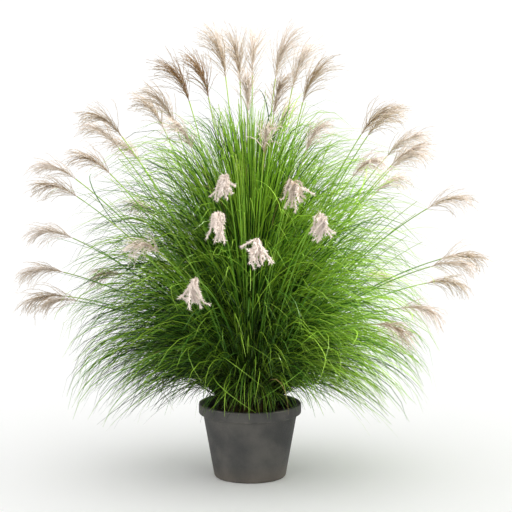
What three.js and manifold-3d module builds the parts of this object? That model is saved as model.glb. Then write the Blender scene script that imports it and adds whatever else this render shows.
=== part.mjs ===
// Potted Himalayan fairy grass: a fountain of narrow arching leaves and flowering stems with silky
// drooping heads, growing from one crown in a plain round pot. Millimetres, +Z up, +X to the right and
// +Y to the back as the plant is looked at, with the origin at the middle of the pot's underside.
import * as THREE from "three";
import { mergeVertices } from "three/addons/utils/BufferGeometryUtils.js";
import Module from "manifold-3d";

const wasm = await Module();
wasm.setup();

// Pot
const POT_HEIGHT = 250;
const POT_TOP_RADIUS = 163; // under the rim band
const POT_BASE_RADIUS = 120;
const POT_WALL = 9;
const POT_FLOOR = 14;
const POT_FOOT_CHAMFER = 5;
const RIM_HEIGHT = 34;
const RIM_OVERHANG = 8;
const RIM_ROUNDING = 4;
const POT_SIDES = 24;
const DRAIN_HOLES = 4;
const DRAIN_RADIUS = 8;
const DRAIN_CIRCLE_RADIUS = 62;

// Soil, filled to a little below the rim, with one plain hole that the crown stands in
const SOIL_TOP = 222;
const SOIL_MOUND = 7;
const SEAT_GAP = 0.3;
const CROWN_RADIUS = 84;
const CROWN_DEPTH = 45;

// The crown divides into tufts side by side, each with the leaves and stems of its own sector
const TUFTS = 6;
const TUFT_HALF_ANGLE = Math.PI / TUFTS;
const TUFT_CLEARANCE = 0.35;
// Outline of the packed sheaths at the foot of a tuft: [height above the soil, outer radius, depth of the
// flutes as a share of that radius, rise of the ridges between the flutes]
const SHEATH_OUTLINE = [
  [-CROWN_DEPTH + SEAT_GAP, CROWN_RADIUS - 6, 0, 0],
  [SOIL_MOUND, CROWN_RADIUS, 0.05, 0],
  [110, CROWN_RADIUS + 16, 0.14, 0],
  [220, CROWN_RADIUS + 36, 0.26, 20],
  [330, 56, 0.34, 75],
];
const SHEATH_RIDGES = 3;
const SHEATH_INNER_RADIUS = 9;
// The dense inside of the clump: bundles of leaves that rise from the faces of the sheaths
const BUNDLE_REACH = 0.83; // of the way to the dome of leaf tips
const BUNDLE_RADII = [20, 15];
const BUNDLE_LOWEST_ANGLE = 92; // degrees from upright
const BUNDLE_HIGHEST_ANGLE = 9;
const BUNDLE_ANGLE_SPREAD = 18;

// Leaves: the tips lie on a dome over the crown, and each leaf arches outwards and down
const DOME_SIDE_RADIUS = 640; // at the height of the soil
const DOME_TOP_RISE = 400; // more than that straight above the crown
const DOME_ROUNDNESS = 1.9;
const LEAF_WIDTH = 9;
const LEAF_THICKNESS = 1.2;
const LEAF_ROOT_RADII = [14, 70]; // of the most upright leaf and of the lowest
const LEAF_ROOT_HEIGHTS = [250, 70]; // above the soil, likewise
const LEAF_ROWS = 13; // leaves per tuft, from the upright middle to the skirt that hangs over the rim
const LEAVES_IN_ROW = 5;
const CREST_ANGLE = 5; // degrees from upright, where the highest leaf tips are
const SKIRT_ANGLE = 98; // and where the lowest ones hang
const STEEPEST_TIP = 160; // degrees from upright that a leaf tip points at most
const LEAF_TRIES = 30;
// Most low leaves are missing at the front, where the clump is open and shows its sheaths
const OPENING_START = 0.5; // how far to the front, from 0 at the sides to 1
const OPENING_ANGLES = [48, 74]; // degrees from upright where leaves start to be missing, and where most are
const OPENING_SHARE = 0.9;

// Flowering stems and heads
const STEM_RADIUS = 2.2;
const STEM_DEPTH = 1.7 * STEM_RADIUS; // of its three-sided section
const STEM_SEGMENTS = 4;
const STEM_ROOT_HEIGHT = 120;
const STEM_ROOT_RADIUS = 22; // for an upright stem, and further out the more it leans
const STEM_ROOT_SPREAD = 38; // per radian of lean
// A head has a slim three-sided axis: [distance along it, radius], ending in a point at its length
const HEAD_AXIS = [
  [0, STEM_RADIUS],
  [14, 4.5],
  [34, 5],
];
const HEAD_AXIS_LENGTH = 56;
const HEAD_AXIS_BEND = 0.55; // of the head's droop
const SPIKE_LENGTH = 120;
const SPIKE_RADIUS = 3.2;
const SPIKE_BEND = 0.75; // of the head's droop
const LONG_SPIKE_EVERY = 4; // these have one more bend
const SPIKE_TRIES = 60;
const SPIKE_SPREADS = [0.35, 0.8]; // sideways per unit along the axis, where a spike leaves it
const HANG_ANGLE = 50; // degrees below level that heads bend towards, away from the plant; mops hang straight
// Where each stem ends and its head begins, in mm from the crown: [to the right, to the back, above the
// soil], and how heavily the head hangs: 1 nods as most do, 2 hangs like a mop.
const FLOWER_HEADS = [
  // crest
  [-80, 40, 1112, 1],
  [-32, -60, 1108, 1],
  [8, 140, 1109, 1],
  [83, -20, 1111, 1],
  [141, 110, 1071, 1],
  [173, -40, 1037, 1],
  [-6, -135, 1012, 1],
  [77, -150, 1006, 1],
  [45, -265, 897, 1.2],
  [99, 230, 895, 1],
  [-198, -30, 1039, 1],
  [-138, 115, 1038, 1],
  // left flank
  [-246, 30, 954, 1],
  [-292, 170, 930, 1],
  [-416, -70, 927, 1],
  [-438, 120, 869, 1],
  [-371, 250, 803, 1],
  [-448, -200, 822, 1],
  [-579, 70, 771, 1],
  [-560, -125, 738, 1],
  [-582, -40, 589, 1],
  [-618, 10, 467, 1],
  [-595, -140, 412, 1],
  [-580, 150, 345, 1],
  // front
  [-288, -350, 590, 1.3],
  [-70, -335, 820, 2],
  [-92, -440, 722, 2],
  [128, -335, 801, 2],
  [22, -500, 650, 2],
  [211, -420, 714, 2],
  [-166, -510, 530, 2],
  [-185, -225, 905, 1.2],
  [180, -235, 900, 1.2],
  // right flank
  [362, -50, 931, 1],
  [390, 110, 908, 1],
  [452, 30, 852, 1],
  [455, -175, 845, 1],
  [470, 230, 777, 1],
  [326, -310, 825, 1.2],
  [430, 330, 690, 1],
  [582, -30, 685, 1],
  [588, -110, 505, 1],
  [640, 80, 501, 1],
  [480, -290, 400, 1],
  [600, 190, 400, 1],
  [400, -420, 372, 1.3],
  // back
  [-330, 400, 600, 1.2],
  [30, 400, 760, 1.5],
  [-120, 490, 560, 1.5],
  [190, 500, 520, 1.5],
  [-440, 330, 400, 1.2],
  [400, 430, 380, 1.2],
];

const UP = new THREE.Vector3(0, 0, 1);
const DEGREE = Math.PI / 180;
const MERGE_DISTANCE = 1e-4;
const TOUCH_VOLUME = 1e-3; // what two solids that only touch may seem to share
const SHORTEST_EDGE = 0.02; // shorter ones, left where leaves cross, are closed up

/** A seeded stream of numbers from 0 to 1. */
function seededDraws(seed) {
  let state = seed;
  return () => {
    state = (state + 0x6d2b79f5) | 0;
    let mixed = Math.imul(state ^ (state >>> 15), 1 | state);
    mixed = (mixed + Math.imul(mixed ^ (mixed >>> 7), 61 | mixed)) ^ mixed;
    return ((mixed ^ (mixed >>> 14)) >>> 0) / 4294967296;
  };
}

/** A geometry whose faces share their corners. */
function sharedCorners(geometry) {
  const bare = geometry.clone();
  bare.deleteAttribute("normal");
  bare.deleteAttribute("uv");
  return mergeVertices(bare, MERGE_DISTANCE);
}

/** A closed geometry as a solid that can be joined and cut. */
function solidOf(geometry) {
  const merged = sharedCorners(geometry);
  return new wasm.Manifold(
    new wasm.Mesh({
      numProp: 3,
      vertProperties: merged.attributes.position.array,
      triVerts: new Uint32Array(merged.index.array),
    }),
  );
}

/** A solid as a named mesh. */
function meshOf(name, solid, material) {
  const { vertProperties, triVerts } = solid.getMesh();
  const geometry = new THREE.BufferGeometry()
    .setAttribute("position", new THREE.BufferAttribute(vertProperties, 3))
    .setIndex(new THREE.BufferAttribute(triVerts, 1));
  geometry.computeVertexNormals();
  const mesh = new THREE.Mesh(geometry, material);
  mesh.name = name;
  return mesh;
}

/** A closed surface as shared corners and faces, whose faces can be drawn out into spikes. */
class Surface {
  constructor(geometry) {
    const merged = sharedCorners(geometry);
    this.corners = [];
    for (let i = 0; i < merged.attributes.position.count; i++) {
      this.corners.push(new THREE.Vector3().fromBufferAttribute(merged.attributes.position, i));
    }
    this.faces = [];
    for (let i = 0; i < merged.index.count; i += 3) {
      this.faces.push([0, 1, 2].map((k) => merged.index.getX(i + k)));
    }
  }

  /** The corners of a face, its middle and the way it faces. */
  faceFacts(face) {
    const corners = this.faces[face].map((i) => this.corners[i]);
    const triangle = new THREE.Triangle(...corners);
    return {
      corners,
      middle: triangle.getMidpoint(new THREE.Vector3()),
      normal: triangle.getNormal(new THREE.Vector3()),
    };
  }

  /** Puts the walls of a spike in place of a face: rings of three corners, then the tip. */
  drawOut(face, rings, tip) {
    let ring = this.faces[face];
    const walls = [];
    for (const places of rings) {
      const next = places.map((place) => this.corners.push(place) - 1);
      for (let i = 0; i < 3; i++) {
        const j = (i + 1) % 3;
        walls.push([ring[i], ring[j], next[j]], [ring[i], next[j], next[i]]);
      }
      ring = next;
    }
    const top = this.corners.push(tip) - 1;
    for (let i = 0; i < 3; i++) walls.push([ring[i], ring[(i + 1) % 3], top]);
    this.faces.push(...walls);
    this.faces[face] = null;
  }

  solid() {
    const triangles = this.faces.filter((face) => face).flat();
    return solidOf(new THREE.BufferGeometry().setFromPoints(this.corners).setIndex(triangles));
  }

  /** A spike on its own, closed by the face that it would grow from. */
  static spike({ corners }, rings, tip) {
    const alone = new Surface(new THREE.BufferGeometry().setFromPoints(corners).setIndex([0, 1, 2, 0, 2, 1]));
    alone.drawOut(0, rings, tip);
    return alone.solid();
  }
}

/** Three corners round a place, square to a direction and in the same order as the corners of a face. */
function spikeRing({ corners, middle }, direction, place, radius) {
  return corners.map((corner) => {
    const offset = corner.clone().sub(middle);
    offset.addScaledVector(direction, -offset.dot(direction)).setLength(radius);
    return offset.add(place);
  });
}

/** A profile of [radius, height] points turned about the Z axis. */
function turned(profile, sides) {
  const points = profile.map(([radius, height]) => new THREE.Vector2(radius, height));
  return solidOf(new THREE.LatheGeometry(points, sides).rotateX(Math.PI / 2));
}

/**
 * A three-sided tapering solid along a line of points. widths and thicknesses are whole sizes at each
 * point but the last, which is the tip; the keel is on the underside.
 */
function keeledBlade(points, side, widths, thicknesses) {
  const count = points.length - 1;
  const cone = new THREE.ConeGeometry(1, 1, 3, count);
  const corner = cone.attributes.position;
  const tangent = new THREE.Vector3();
  const across = new THREE.Vector3();
  const upper = new THREE.Vector3();
  const place = new THREE.Vector3();
  const sectionHalfWidth = Math.sin(60 * DEGREE); // of a triangle in a circle of radius 1
  const sectionDepth = 1.5;
  for (let i = 0; i < corner.count; i++) {
    const share = corner.getY(i) + 0.5;
    const step = Math.round(share * count);
    place.copy(points[step]);
    if (step < count) {
      tangent.subVectors(points[step + 1], points[Math.max(0, step - 1)]).normalize();
      across.copy(side).addScaledVector(tangent, -side.dot(tangent)).normalize();
      upper.crossVectors(across, tangent);
      const ringRadius = 1 - share;
      place.addScaledVector(across, (corner.getX(i) / ringRadius / sectionHalfWidth) * (widths[step] / 2));
      place.addScaledVector(upper, (corner.getZ(i) / ringRadius / sectionDepth) * thicknesses[step]);
    }
    corner.setXYZ(i, place.x, place.y, place.z);
  }
  return cone;
}

/** An angle brought to within half a turn of zero. */
function wrapped(angle) {
  return Math.atan2(Math.sin(angle), Math.cos(angle));
}

/** The level direction square to a bearing round the plant. */
function sidewaysAt(azimuth) {
  return new THREE.Vector3(-Math.sin(azimuth), Math.cos(azimuth), 0);
}

/** A direction turned towards another by an angle, but not past it. */
function bentTowards(direction, way, angle) {
  const axis = new THREE.Vector3().crossVectors(direction, way).normalize();
  return direction.clone().applyAxisAngle(axis, Math.min(angle, direction.angleTo(way)));
}

/** Direction in a vertical plane, at an angle from upright. */
function leaning(angle) {
  return new THREE.Vector2(Math.sin(angle), Math.cos(angle));
}

/**
 * A curve in a vertical plane (x outwards, y up) from one point to another, with given leans at its ends.
 * It never turns back towards the plant's axis.
 */
function archedLine(from, to, startLean, endLean, startReach, endReach) {
  const chord = from.distanceTo(to);
  const mostBack = (0.75 * (to.x - from.x)) / Math.max(0.05, Math.sin(endLean));
  return new THREE.CubicBezierCurve(
    from,
    from.clone().addScaledVector(leaning(startLean), chord * startReach),
    to.clone().addScaledVector(leaning(endLean), -Math.min(chord * endReach, mostBack)),
    to,
  );
}

/** How far from the crown the leaf tips are, at an angle from upright. */
function domeRadius(angle) {
  return DOME_SIDE_RADIUS + DOME_TOP_RISE * Math.max(0, Math.cos(angle)) ** DOME_ROUNDNESS;
}

/** The point of a tuft at a distance and bearing from the plant's axis, kept clear of the next tufts. */
function inTuft(tuft, distance, bearing, height, halfWidth) {
  const inset = TUFT_CLEARANCE + halfWidth;
  const out = Math.max(distance * Math.cos(bearing), inset / Math.sin(TUFT_HALF_ANGLE));
  const room = out * Math.tan(TUFT_HALF_ANGLE) - inset / Math.cos(TUFT_HALF_ANGLE);
  const sideways = THREE.MathUtils.clamp(distance * Math.sin(bearing), -room, room);
  return new THREE.Vector3(out, sideways, SOIL_TOP + height).applyAxisAngle(UP, tuft.azimuth);
}

function makePot() {
  const rimRadius = POT_TOP_RADIUS + RIM_OVERHANG;
  const innerTop = POT_TOP_RADIUS - POT_WALL;
  const innerBase = POT_BASE_RADIUS - POT_WALL;
  let pot = turned(
    [
      [0, 0],
      [POT_BASE_RADIUS - POT_FOOT_CHAMFER, 0],
      [POT_BASE_RADIUS, POT_FOOT_CHAMFER],
      [POT_TOP_RADIUS, POT_HEIGHT - RIM_HEIGHT - RIM_ROUNDING],
      [rimRadius, POT_HEIGHT - RIM_HEIGHT],
      [rimRadius, POT_HEIGHT - RIM_ROUNDING],
      [rimRadius - RIM_ROUNDING, POT_HEIGHT],
      [innerTop + RIM_ROUNDING, POT_HEIGHT],
      [innerTop, POT_HEIGHT - RIM_ROUNDING],
      [innerBase, POT_FLOOR],
      [0, POT_FLOOR],
    ],
    POT_SIDES,
  );
  for (let i = 0; i < DRAIN_HOLES; i++) {
    const azimuth = ((i + 0.5) / DRAIN_HOLES) * 2 * Math.PI;
    const drill = new THREE.CylinderGeometry(DRAIN_RADIUS, DRAIN_RADIUS, 3 * POT_FLOOR, 8)
      .rotateX(Math.PI / 2)
      .translate(DRAIN_CIRCLE_RADIUS * Math.cos(azimuth), DRAIN_CIRCLE_RADIUS * Math.sin(azimuth), 0);
    pot = pot.subtract(solidOf(drill));
  }
  return pot;
}

function makeSoil() {
  const innerTop = POT_TOP_RADIUS - POT_WALL;
  const innerBase = POT_BASE_RADIUS - POT_WALL;
  const slope = (innerTop - innerBase) / (POT_HEIGHT - RIM_ROUNDING - POT_FLOOR);
  const wallRadius = (height) => innerBase + slope * (height - POT_FLOOR) - SEAT_GAP;
  const holeRadius = (CROWN_RADIUS + SEAT_GAP) / Math.cos(Math.PI / POT_SIDES);
  return turned(
    [
      [0, POT_FLOOR + SEAT_GAP],
      [wallRadius(POT_FLOOR + SEAT_GAP), POT_FLOOR + SEAT_GAP],
      [wallRadius(SOIL_TOP - 4), SOIL_TOP - 4],
      [(wallRadius(SOIL_TOP) + holeRadius) / 2, SOIL_TOP + SOIL_MOUND],
      [holeRadius, SOIL_TOP + SOIL_MOUND / 2],
      [holeRadius, SOIL_TOP - CROWN_DEPTH],
      [0, SOIL_TOP - CROWN_DEPTH],
    ],
    POT_SIDES,
  );
}

/** The packed sheaths at the foot of a tuft: a fluted wedge that its leaves and stems rise from. */
function makeSheaths(tuft) {
  const corners = 2 * SHEATH_RIDGES + 1;
  const rings = SHEATH_OUTLINE.map(([height, radius, flute, rise]) => {
    const ring = [
      inTuft(tuft, SHEATH_INNER_RADIUS, TUFT_HALF_ANGLE, height, 0),
      inTuft(tuft, SHEATH_INNER_RADIUS, -TUFT_HALF_ANGLE, height, 0),
    ];
    for (let i = 0; i < corners; i++) {
      const bearing = (i / (corners - 1) - 0.5) * 2 * TUFT_HALF_ANGLE;
      const onRidge = i % 2;
      ring.push(inTuft(tuft, radius * (1 - flute * (1 - onRidge)), bearing, height + rise * onRidge, 0));
    }
    return ring;
  });
  const size = rings[0].length;
  const wedge = new THREE.CylinderGeometry(1, 1, 1, size, rings.length - 1);
  const corner = wedge.attributes.position;
  for (let i = 0; i < corner.count; i++) {
    const onAxis = Math.hypot(corner.getX(i), corner.getZ(i)) < 0.5;
    const level = Math.round((corner.getY(i) + 0.5) * (rings.length - 1));
    const turn = Math.atan2(corner.getX(i), corner.getZ(i)) / (2 * Math.PI);
    const place = onAxis
      ? inTuft(tuft, SHEATH_OUTLINE[level][1] / 2, 0, SHEATH_OUTLINE[level][0], 0)
      : rings[level][Math.round(turn * size + size) % size];
    corner.setXYZ(i, place.x, place.y, place.z);
  }
  return new Surface(wedge);
}

/** Draws the outer faces of the sheaths out into arching bundles of leaves, the higher the more upright. */
function growBundles(surface, tuft, draw) {
  const lowest = SHEATH_OUTLINE[1][0];
  const highest = SHEATH_OUTLINE.at(-1)[0] + SHEATH_OUTLINE.at(-1)[3];
  const outwards = new THREE.Vector3(Math.cos(tuft.azimuth), Math.sin(tuft.azimuth), 0);
  for (const face of [...surface.faces.keys()]) {
    const facts = surface.faceFacts(face);
    const height = facts.middle.z - SOIL_TOP;
    const facesOut = facts.normal.dot(outwards) > 0.3;
    const pointsUp = facts.corners.filter((corner) => corner.z < facts.middle.z).length === 2;
    if (height < lowest || !facesOut || !pointsUp) continue;
    const share = (height - lowest) / (highest - lowest);
    const middleAngle = THREE.MathUtils.lerp(BUNDLE_LOWEST_ANGLE, BUNDLE_HIGHEST_ANGLE, share);
    const tipAngle = DEGREE * (middleAngle + BUNDLE_ANGLE_SPREAD * (draw() - 0.5));
    const from = new THREE.Vector2(Math.hypot(facts.middle.x, facts.middle.y), height);
    const reach = domeRadius(tipAngle) * BUNDLE_REACH * (0.85 + 0.3 * draw());
    const tip = leaning(tipAngle).multiplyScalar(reach);
    const line = archedLine(from, tip, tipAngle * 0.5, tipAngle + 40 * DEGREE, 0.45, 0.33);
    const bearing = wrapped(Math.atan2(facts.middle.y, facts.middle.x) - tuft.azimuth);
    const place = (along, room) => {
      const point = line.getPointAt(along);
      return inTuft(tuft, point.x, bearing, point.y, room);
    };
    const rings = BUNDLE_RADII.map((radius, i) => {
      const along = (i + 1) / (BUNDLE_RADII.length + 1);
      const direction = place(along + 0.1, radius).sub(place(along - 0.1, radius)).normalize();
      return spikeRing(facts, direction, place(along, radius), radius);
    });
    surface.drawOut(face, rings, place(1, 0));
  }
}

/** A flowering stem, from inside the sheaths to just short of its head, cut along the head's flat foot. */
function makeStem(tuft, head) {
  const distance = Math.hypot(head.foot.x, head.foot.y);
  const height = head.foot.z - SOIL_TOP;
  const lean = Math.atan2(distance, height);
  const from = new THREE.Vector2(STEM_ROOT_RADIUS + STEM_ROOT_SPREAD * lean, STEM_ROOT_HEIGHT);
  const line = archedLine(from, new THREE.Vector2(distance, height), lean * 0.75, head.startLean, 0.4, 0.28);
  const path = line
    .getSpacedPoints(STEM_SEGMENTS)
    .map((point) => inTuft(tuft, point.x, head.bearing, point.y, STEM_RADIUS));
  const end = path[STEM_SEGMENTS];
  const beyond = end.clone().multiplyScalar(2).sub(path[STEM_SEGMENTS - 1]);
  const widths = path.map(() => 2 * STEM_RADIUS);
  const thicknesses = path.map(() => STEM_DEPTH);
  const stem = solidOf(keeledBlade([...path, beyond], sidewaysAt(head.azimuth), widths, thicknesses));
  return stem.trimByPlane(head.start.clone().negate().toArray(), -head.start.dot(head.foot));
}

/** The rings and tip of one spike of a head, which starts on a face of its axis and droops. */
function drawSpike(head, facts, axisDirection, segments, draw) {
  const length = SPIKE_LENGTH * (0.8 + 0.35 * draw());
  const droop = SPIKE_BEND * head.droop * (0.8 + 0.4 * draw());
  const direction = axisDirection.clone();
  direction.addScaledVector(facts.normal, THREE.MathUtils.lerp(...SPIKE_SPREADS, draw())).normalize();
  const rings = [];
  let ring = facts;
  for (let i = 1; i < segments; i++) {
    const middle = ring.middle.clone().addScaledVector(direction, length / segments);
    const radius = SPIKE_RADIUS * (1.15 - (0.3 * i) / segments);
    ring = { middle, corners: spikeRing(ring, direction, middle, radius) };
    rings.push(ring.corners);
    direction.copy(bentTowards(direction, head.hangWay, droop / (segments - 1)));
  }
  return [rings, ring.middle.clone().addScaledVector(direction, length / segments)];
}

/** A flower head: a slim axis that bends over, its faces past the foot drawn out into drooping spikes. */
function makeHead(head, draw) {
  const distances = [...HEAD_AXIS.map(([distance]) => distance), HEAD_AXIS_LENGTH];
  const axisDirection = (distance) =>
    bentTowards(head.start, head.hangWay, (head.droop * HEAD_AXIS_BEND * distance) / HEAD_AXIS_LENGTH);
  const points = [head.foot.clone().addScaledVector(head.start, SEAT_GAP)];
  for (let i = 1; i < distances.length; i++) {
    const step = axisDirection(distances[i - 1]).multiplyScalar(distances[i] - distances[i - 1]);
    points.push(points[i - 1].clone().add(step));
  }
  const widths = HEAD_AXIS.map(([, radius]) => 2 * radius);
  const thicknesses = HEAD_AXIS.map(([, radius]) => 1.7 * radius);
  const surface = new Surface(keeledBlade(points, sidewaysAt(head.azimuth), widths, thicknesses));

  // Each spike is drawn again until it is clear of the axis and of the spikes before it
  let taken = surface.solid();
  let order = 0;
  for (const face of [...surface.faces.keys()]) {
    const facts = surface.faceFacts(face);
    const distance = facts.middle.distanceTo(points[0]);
    if (distance < distances[1]) continue;
    const segments = order % LONG_SPIKE_EVERY === 0 ? 3 : 2;
    for (let attempt = 0; attempt < SPIKE_TRIES; attempt++) {
      const [rings, tip] = drawSpike(head, facts, axisDirection(distance), segments, draw);
      const spike = Surface.spike(facts, rings, tip);
      if (spike.intersect(taken).volume() > TOUCH_VOLUME) continue;
      taken = taken.add(spike);
      surface.drawOut(face, rings, tip);
      order++;
      break;
    }
  }
  return surface.solid();
}

/** Where a head starts, which tuft its stem grows in, and how it leans and droops. */
function headFacts([right, back, up, hang], tufts) {
  const azimuth = Math.atan2(back, right);
  const distance = Math.hypot(right, back);
  const tuft = tufts.reduce((best, one) =>
    Math.abs(wrapped(azimuth - one.azimuth)) < Math.abs(wrapped(azimuth - best.azimuth)) ? one : best,
  );
  const bearing = wrapped(azimuth - tuft.azimuth);
  const lean = Math.atan2(distance, up);
  const startLean = Math.min((2 * DEGREE + 1.4 * lean) * (1 + 0.1 * (hang - 1)), 82 * DEGREE);
  const droop = Math.min(38 * DEGREE + 1.2 * lean, 64 * DEGREE) * (0.5 + 0.5 * hang);
  const foot = inTuft(tuft, distance, bearing, up, STEM_RADIUS);
  const start = new THREE.Vector3(Math.sin(startLean), 0, Math.cos(startLean)).applyAxisAngle(UP, azimuth);
  const hangAngle = THREE.MathUtils.lerp(HANG_ANGLE, 90, THREE.MathUtils.clamp(hang - 1, 0, 1)) * DEGREE;
  const hangWay = new THREE.Vector3(Math.cos(hangAngle), 0, -Math.sin(hangAngle)).applyAxisAngle(UP, azimuth);
  return { tuft, azimuth, bearing, startLean, droop, foot, start, hangWay };
}

/** How open the clump is where a leaf would go, from 0 to 1. */
function openness(azimuth, tipAngle) {
  const forward = THREE.MathUtils.clamp((-Math.sin(azimuth) - OPENING_START) / (1 - OPENING_START), 0, 1);
  const [from, to] = OPENING_ANGLES;
  return forward ** 0.6 * THREE.MathUtils.clamp((tipAngle / DEGREE - from) / (to - from), 0, 1);
}

/**
 * One leaf of a tuft, drawn afresh each time: its row sets how upright it is, its column the way it goes.
 * None where the clump is open.
 */
function makeLeaf(tuft, row, column, draw) {
  const share = (row + draw()) / LEAF_ROWS;
  const tipAngle = THREE.MathUtils.lerp(CREST_ANGLE, SKIRT_ANGLE, share ** 0.85) * DEGREE;
  const bearing = (((column + 0.1 + 0.8 * draw()) / LEAVES_IN_ROW) * 2 - 1) * TUFT_HALF_ANGLE * 0.97;
  if (draw() < OPENING_SHARE * openness(tuft.azimuth + bearing, tipAngle)) return null;
  const rootBearing = bearing * (0.5 + 0.4 * draw());
  const reach = domeRadius(tipAngle) * (1 - 0.18 * draw() ** 1.5);
  const tip = leaning(tipAngle).multiplyScalar(reach);
  const lowness = tipAngle / (SKIRT_ANGLE * DEGREE);
  const from = new THREE.Vector2(
    THREE.MathUtils.lerp(...LEAF_ROOT_RADII, lowness) + 6 * draw(),
    THREE.MathUtils.lerp(...LEAF_ROOT_HEIGHTS, lowness) * (0.8 + 0.4 * draw()),
  );
  const startLean = tipAngle * (0.42 + 0.16 * draw());
  const endLean = Math.min(tipAngle + (38 + 40 * draw()) * DEGREE, STEEPEST_TIP * DEGREE);
  const line = archedLine(from, tip, startLean, endLean, 0.5, 0.36);
  const segments = tipAngle < 70 * DEGREE ? 4 : 5;
  const points = line.getSpacedPoints(segments).map((point, i) => {
    const turned = THREE.MathUtils.lerp(rootBearing, bearing, (i / segments) ** 0.8);
    return inTuft(tuft, point.x, turned, point.y, LEAF_WIDTH / 2);
  });
  const widths = points.map((_, i) => LEAF_WIDTH * (1 - 0.45 * Math.max(0, i / segments - 0.4)));
  const thicknesses = points.map(() => LEAF_THICKNESS);
  return solidOf(keeledBlade(points, sidewaysAt(tuft.azimuth + bearing), widths, thicknesses));
}

/** A whole tuft as one solid: sheaths, bundles, stems, and leaves that keep clear of all else. */
function makeTuft(tuft, obstacles) {
  const draw = seededDraws(7 + tuft.index);
  const surface = makeSheaths(tuft);
  const sheaths = surface.solid();
  growBundles(surface, tuft, draw);
  const heart = surface.solid();
  const stems = tuft.heads.map((head) => makeStem(tuft, head));
  let taken = wasm.Manifold.union([heart, ...stems]).subtract(sheaths);
  const leaves = [];
  for (let place = 0; place < LEAF_ROWS * LEAVES_IN_ROW; place++) {
    for (let attempt = 0; attempt < LEAF_TRIES; attempt++) {
      const leaf = makeLeaf(tuft, Math.floor(place / LEAVES_IN_ROW), place % LEAVES_IN_ROW, draw);
      if (!leaf) break;
      if (leaf.intersect(obstacles).volume() > 0) continue;
      const outside = leaf.subtract(sheaths);
      if (outside.intersect(taken).volume() > 0) continue;
      taken = taken.add(outside);
      leaves.push(leaf);
      break;
    }
  }
  return wasm.Manifold.union([heart, ...stems, ...leaves]).simplify(SHORTEST_EDGE);
}

const tufts = Array.from({ length: TUFTS }, (_, index) => ({
  index,
  azimuth: (index / TUFTS) * 2 * Math.PI,
  heads: [],
}));

const pot = makePot();
const soil = makeSoil();
const heads = FLOWER_HEADS.map((row, index) => {
  const facts = headFacts(row, tufts);
  facts.tuft.heads.push(facts);
  return makeHead(facts, seededDraws(100 + index));
});
const obstacles = wasm.Manifold.union([pot, soil, ...heads]);

const fired = new THREE.MeshStandardMaterial({ color: 0x4a4a48, roughness: 0.85, metalness: 0 });
const compost = new THREE.MeshStandardMaterial({ color: 0x2b2019, roughness: 1, metalness: 0 });
const leafGreen = new THREE.MeshStandardMaterial({ color: 0x4f8a1e, roughness: 0.6, metalness: 0 });
const plumeCream = new THREE.MeshStandardMaterial({ color: 0xd9c6ae, roughness: 0.9, metalness: 0 });

const plant = new THREE.Group();
plant.add(meshOf("pot", pot, fired));
plant.add(meshOf("soil", soil, compost));
for (const tuft of tufts) {
  plant.add(meshOf(`leafy_tuft_${tuft.index + 1}`, makeTuft(tuft, obstacles), leafGreen));
}
heads.forEach((head, index) => {
  const number = String(index + 1).padStart(2, "0");
  plant.add(meshOf(`flower_head_${number}`, head, plumeCream));
});

export default plant;
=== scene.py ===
"""The looks of a potted Himalayan fairy grass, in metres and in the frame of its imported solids.

A clump of narrow arching leaves and flowering stems with silky plumes grows in a plain round pot. Each tuft of
leaves, each plume, the pot and the compost replace the solid of the same thing.
"""

import logging
import math
from collections.abc import Sequence
from dataclasses import dataclass, field
from enum import Enum
from functools import partialmethod

import bpy
import numpy as np
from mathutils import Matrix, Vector


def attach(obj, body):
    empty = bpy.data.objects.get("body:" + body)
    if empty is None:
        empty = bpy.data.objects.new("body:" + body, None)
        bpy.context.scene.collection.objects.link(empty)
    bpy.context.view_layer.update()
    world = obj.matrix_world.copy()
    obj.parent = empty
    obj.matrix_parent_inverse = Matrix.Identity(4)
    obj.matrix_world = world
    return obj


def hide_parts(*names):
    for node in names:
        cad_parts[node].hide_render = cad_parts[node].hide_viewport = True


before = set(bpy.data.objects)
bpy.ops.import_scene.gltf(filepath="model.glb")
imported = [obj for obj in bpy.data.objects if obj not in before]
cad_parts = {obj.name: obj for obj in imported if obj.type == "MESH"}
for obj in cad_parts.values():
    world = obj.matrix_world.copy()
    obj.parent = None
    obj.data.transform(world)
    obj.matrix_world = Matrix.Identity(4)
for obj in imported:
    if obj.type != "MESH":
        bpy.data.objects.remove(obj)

log = logging.getLogger("fairy_grass")

Array = np.ndarray
Colour = tuple[float, float, float, float]
Inputs = dict[int | str, object]
Settings = dict[str, object]

SOIL_TOP = 0.222
POT_HEIGHT = 0.25
TUFTS = 6
TUFT_HALF_ANGLE = math.pi / TUFTS
CLEARANCE = 0.00035
NEAR_AXIS = 0.01
BLADE_CORNERS = 3
END_CROWDING = 0.25
UP = np.array([0.0, 0.0, 1.0])


def tint(code: str) -> Colour:
    """Turns a colour as a maker writes it into the linear light that a shader takes.

    Args:
        code: The colour as six hexadecimal digits.

    Returns:
        The linear colour, opaque.
    """
    parts = [int(code[i : i + 2], 16) / 255 for i in (0, 2, 4)]
    red, green, blue = (part / 12.92 if part <= 0.04045 else ((part + 0.055) / 1.055) ** 2.4 for part in parts)
    return red, green, blue, 1.0


def blend(first: Array | float, last: Array | float, share: Array | float) -> Array:
    """Returns what lies a share of the way from the first value to the last."""
    return first + (last - first) * share


def risen(value: Array, start: float, width: float) -> Array:
    """Returns a share that rises from 0 at the start to 1 over the width."""
    return np.clip((value - start) / width, 0, 1)


def outwards(azimuth: Array) -> Array:
    """Returns the level directions away from the plant's axis at each azimuth."""
    return np.stack([np.cos(azimuth), np.sin(azimuth), np.zeros_like(azimuth)], axis=-1)


def sideways(azimuth: Array) -> Array:
    """Returns the level directions round the plant at each azimuth."""
    return np.stack([-np.sin(azimuth), np.cos(azimuth), np.zeros_like(azimuth)], axis=-1)


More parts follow.
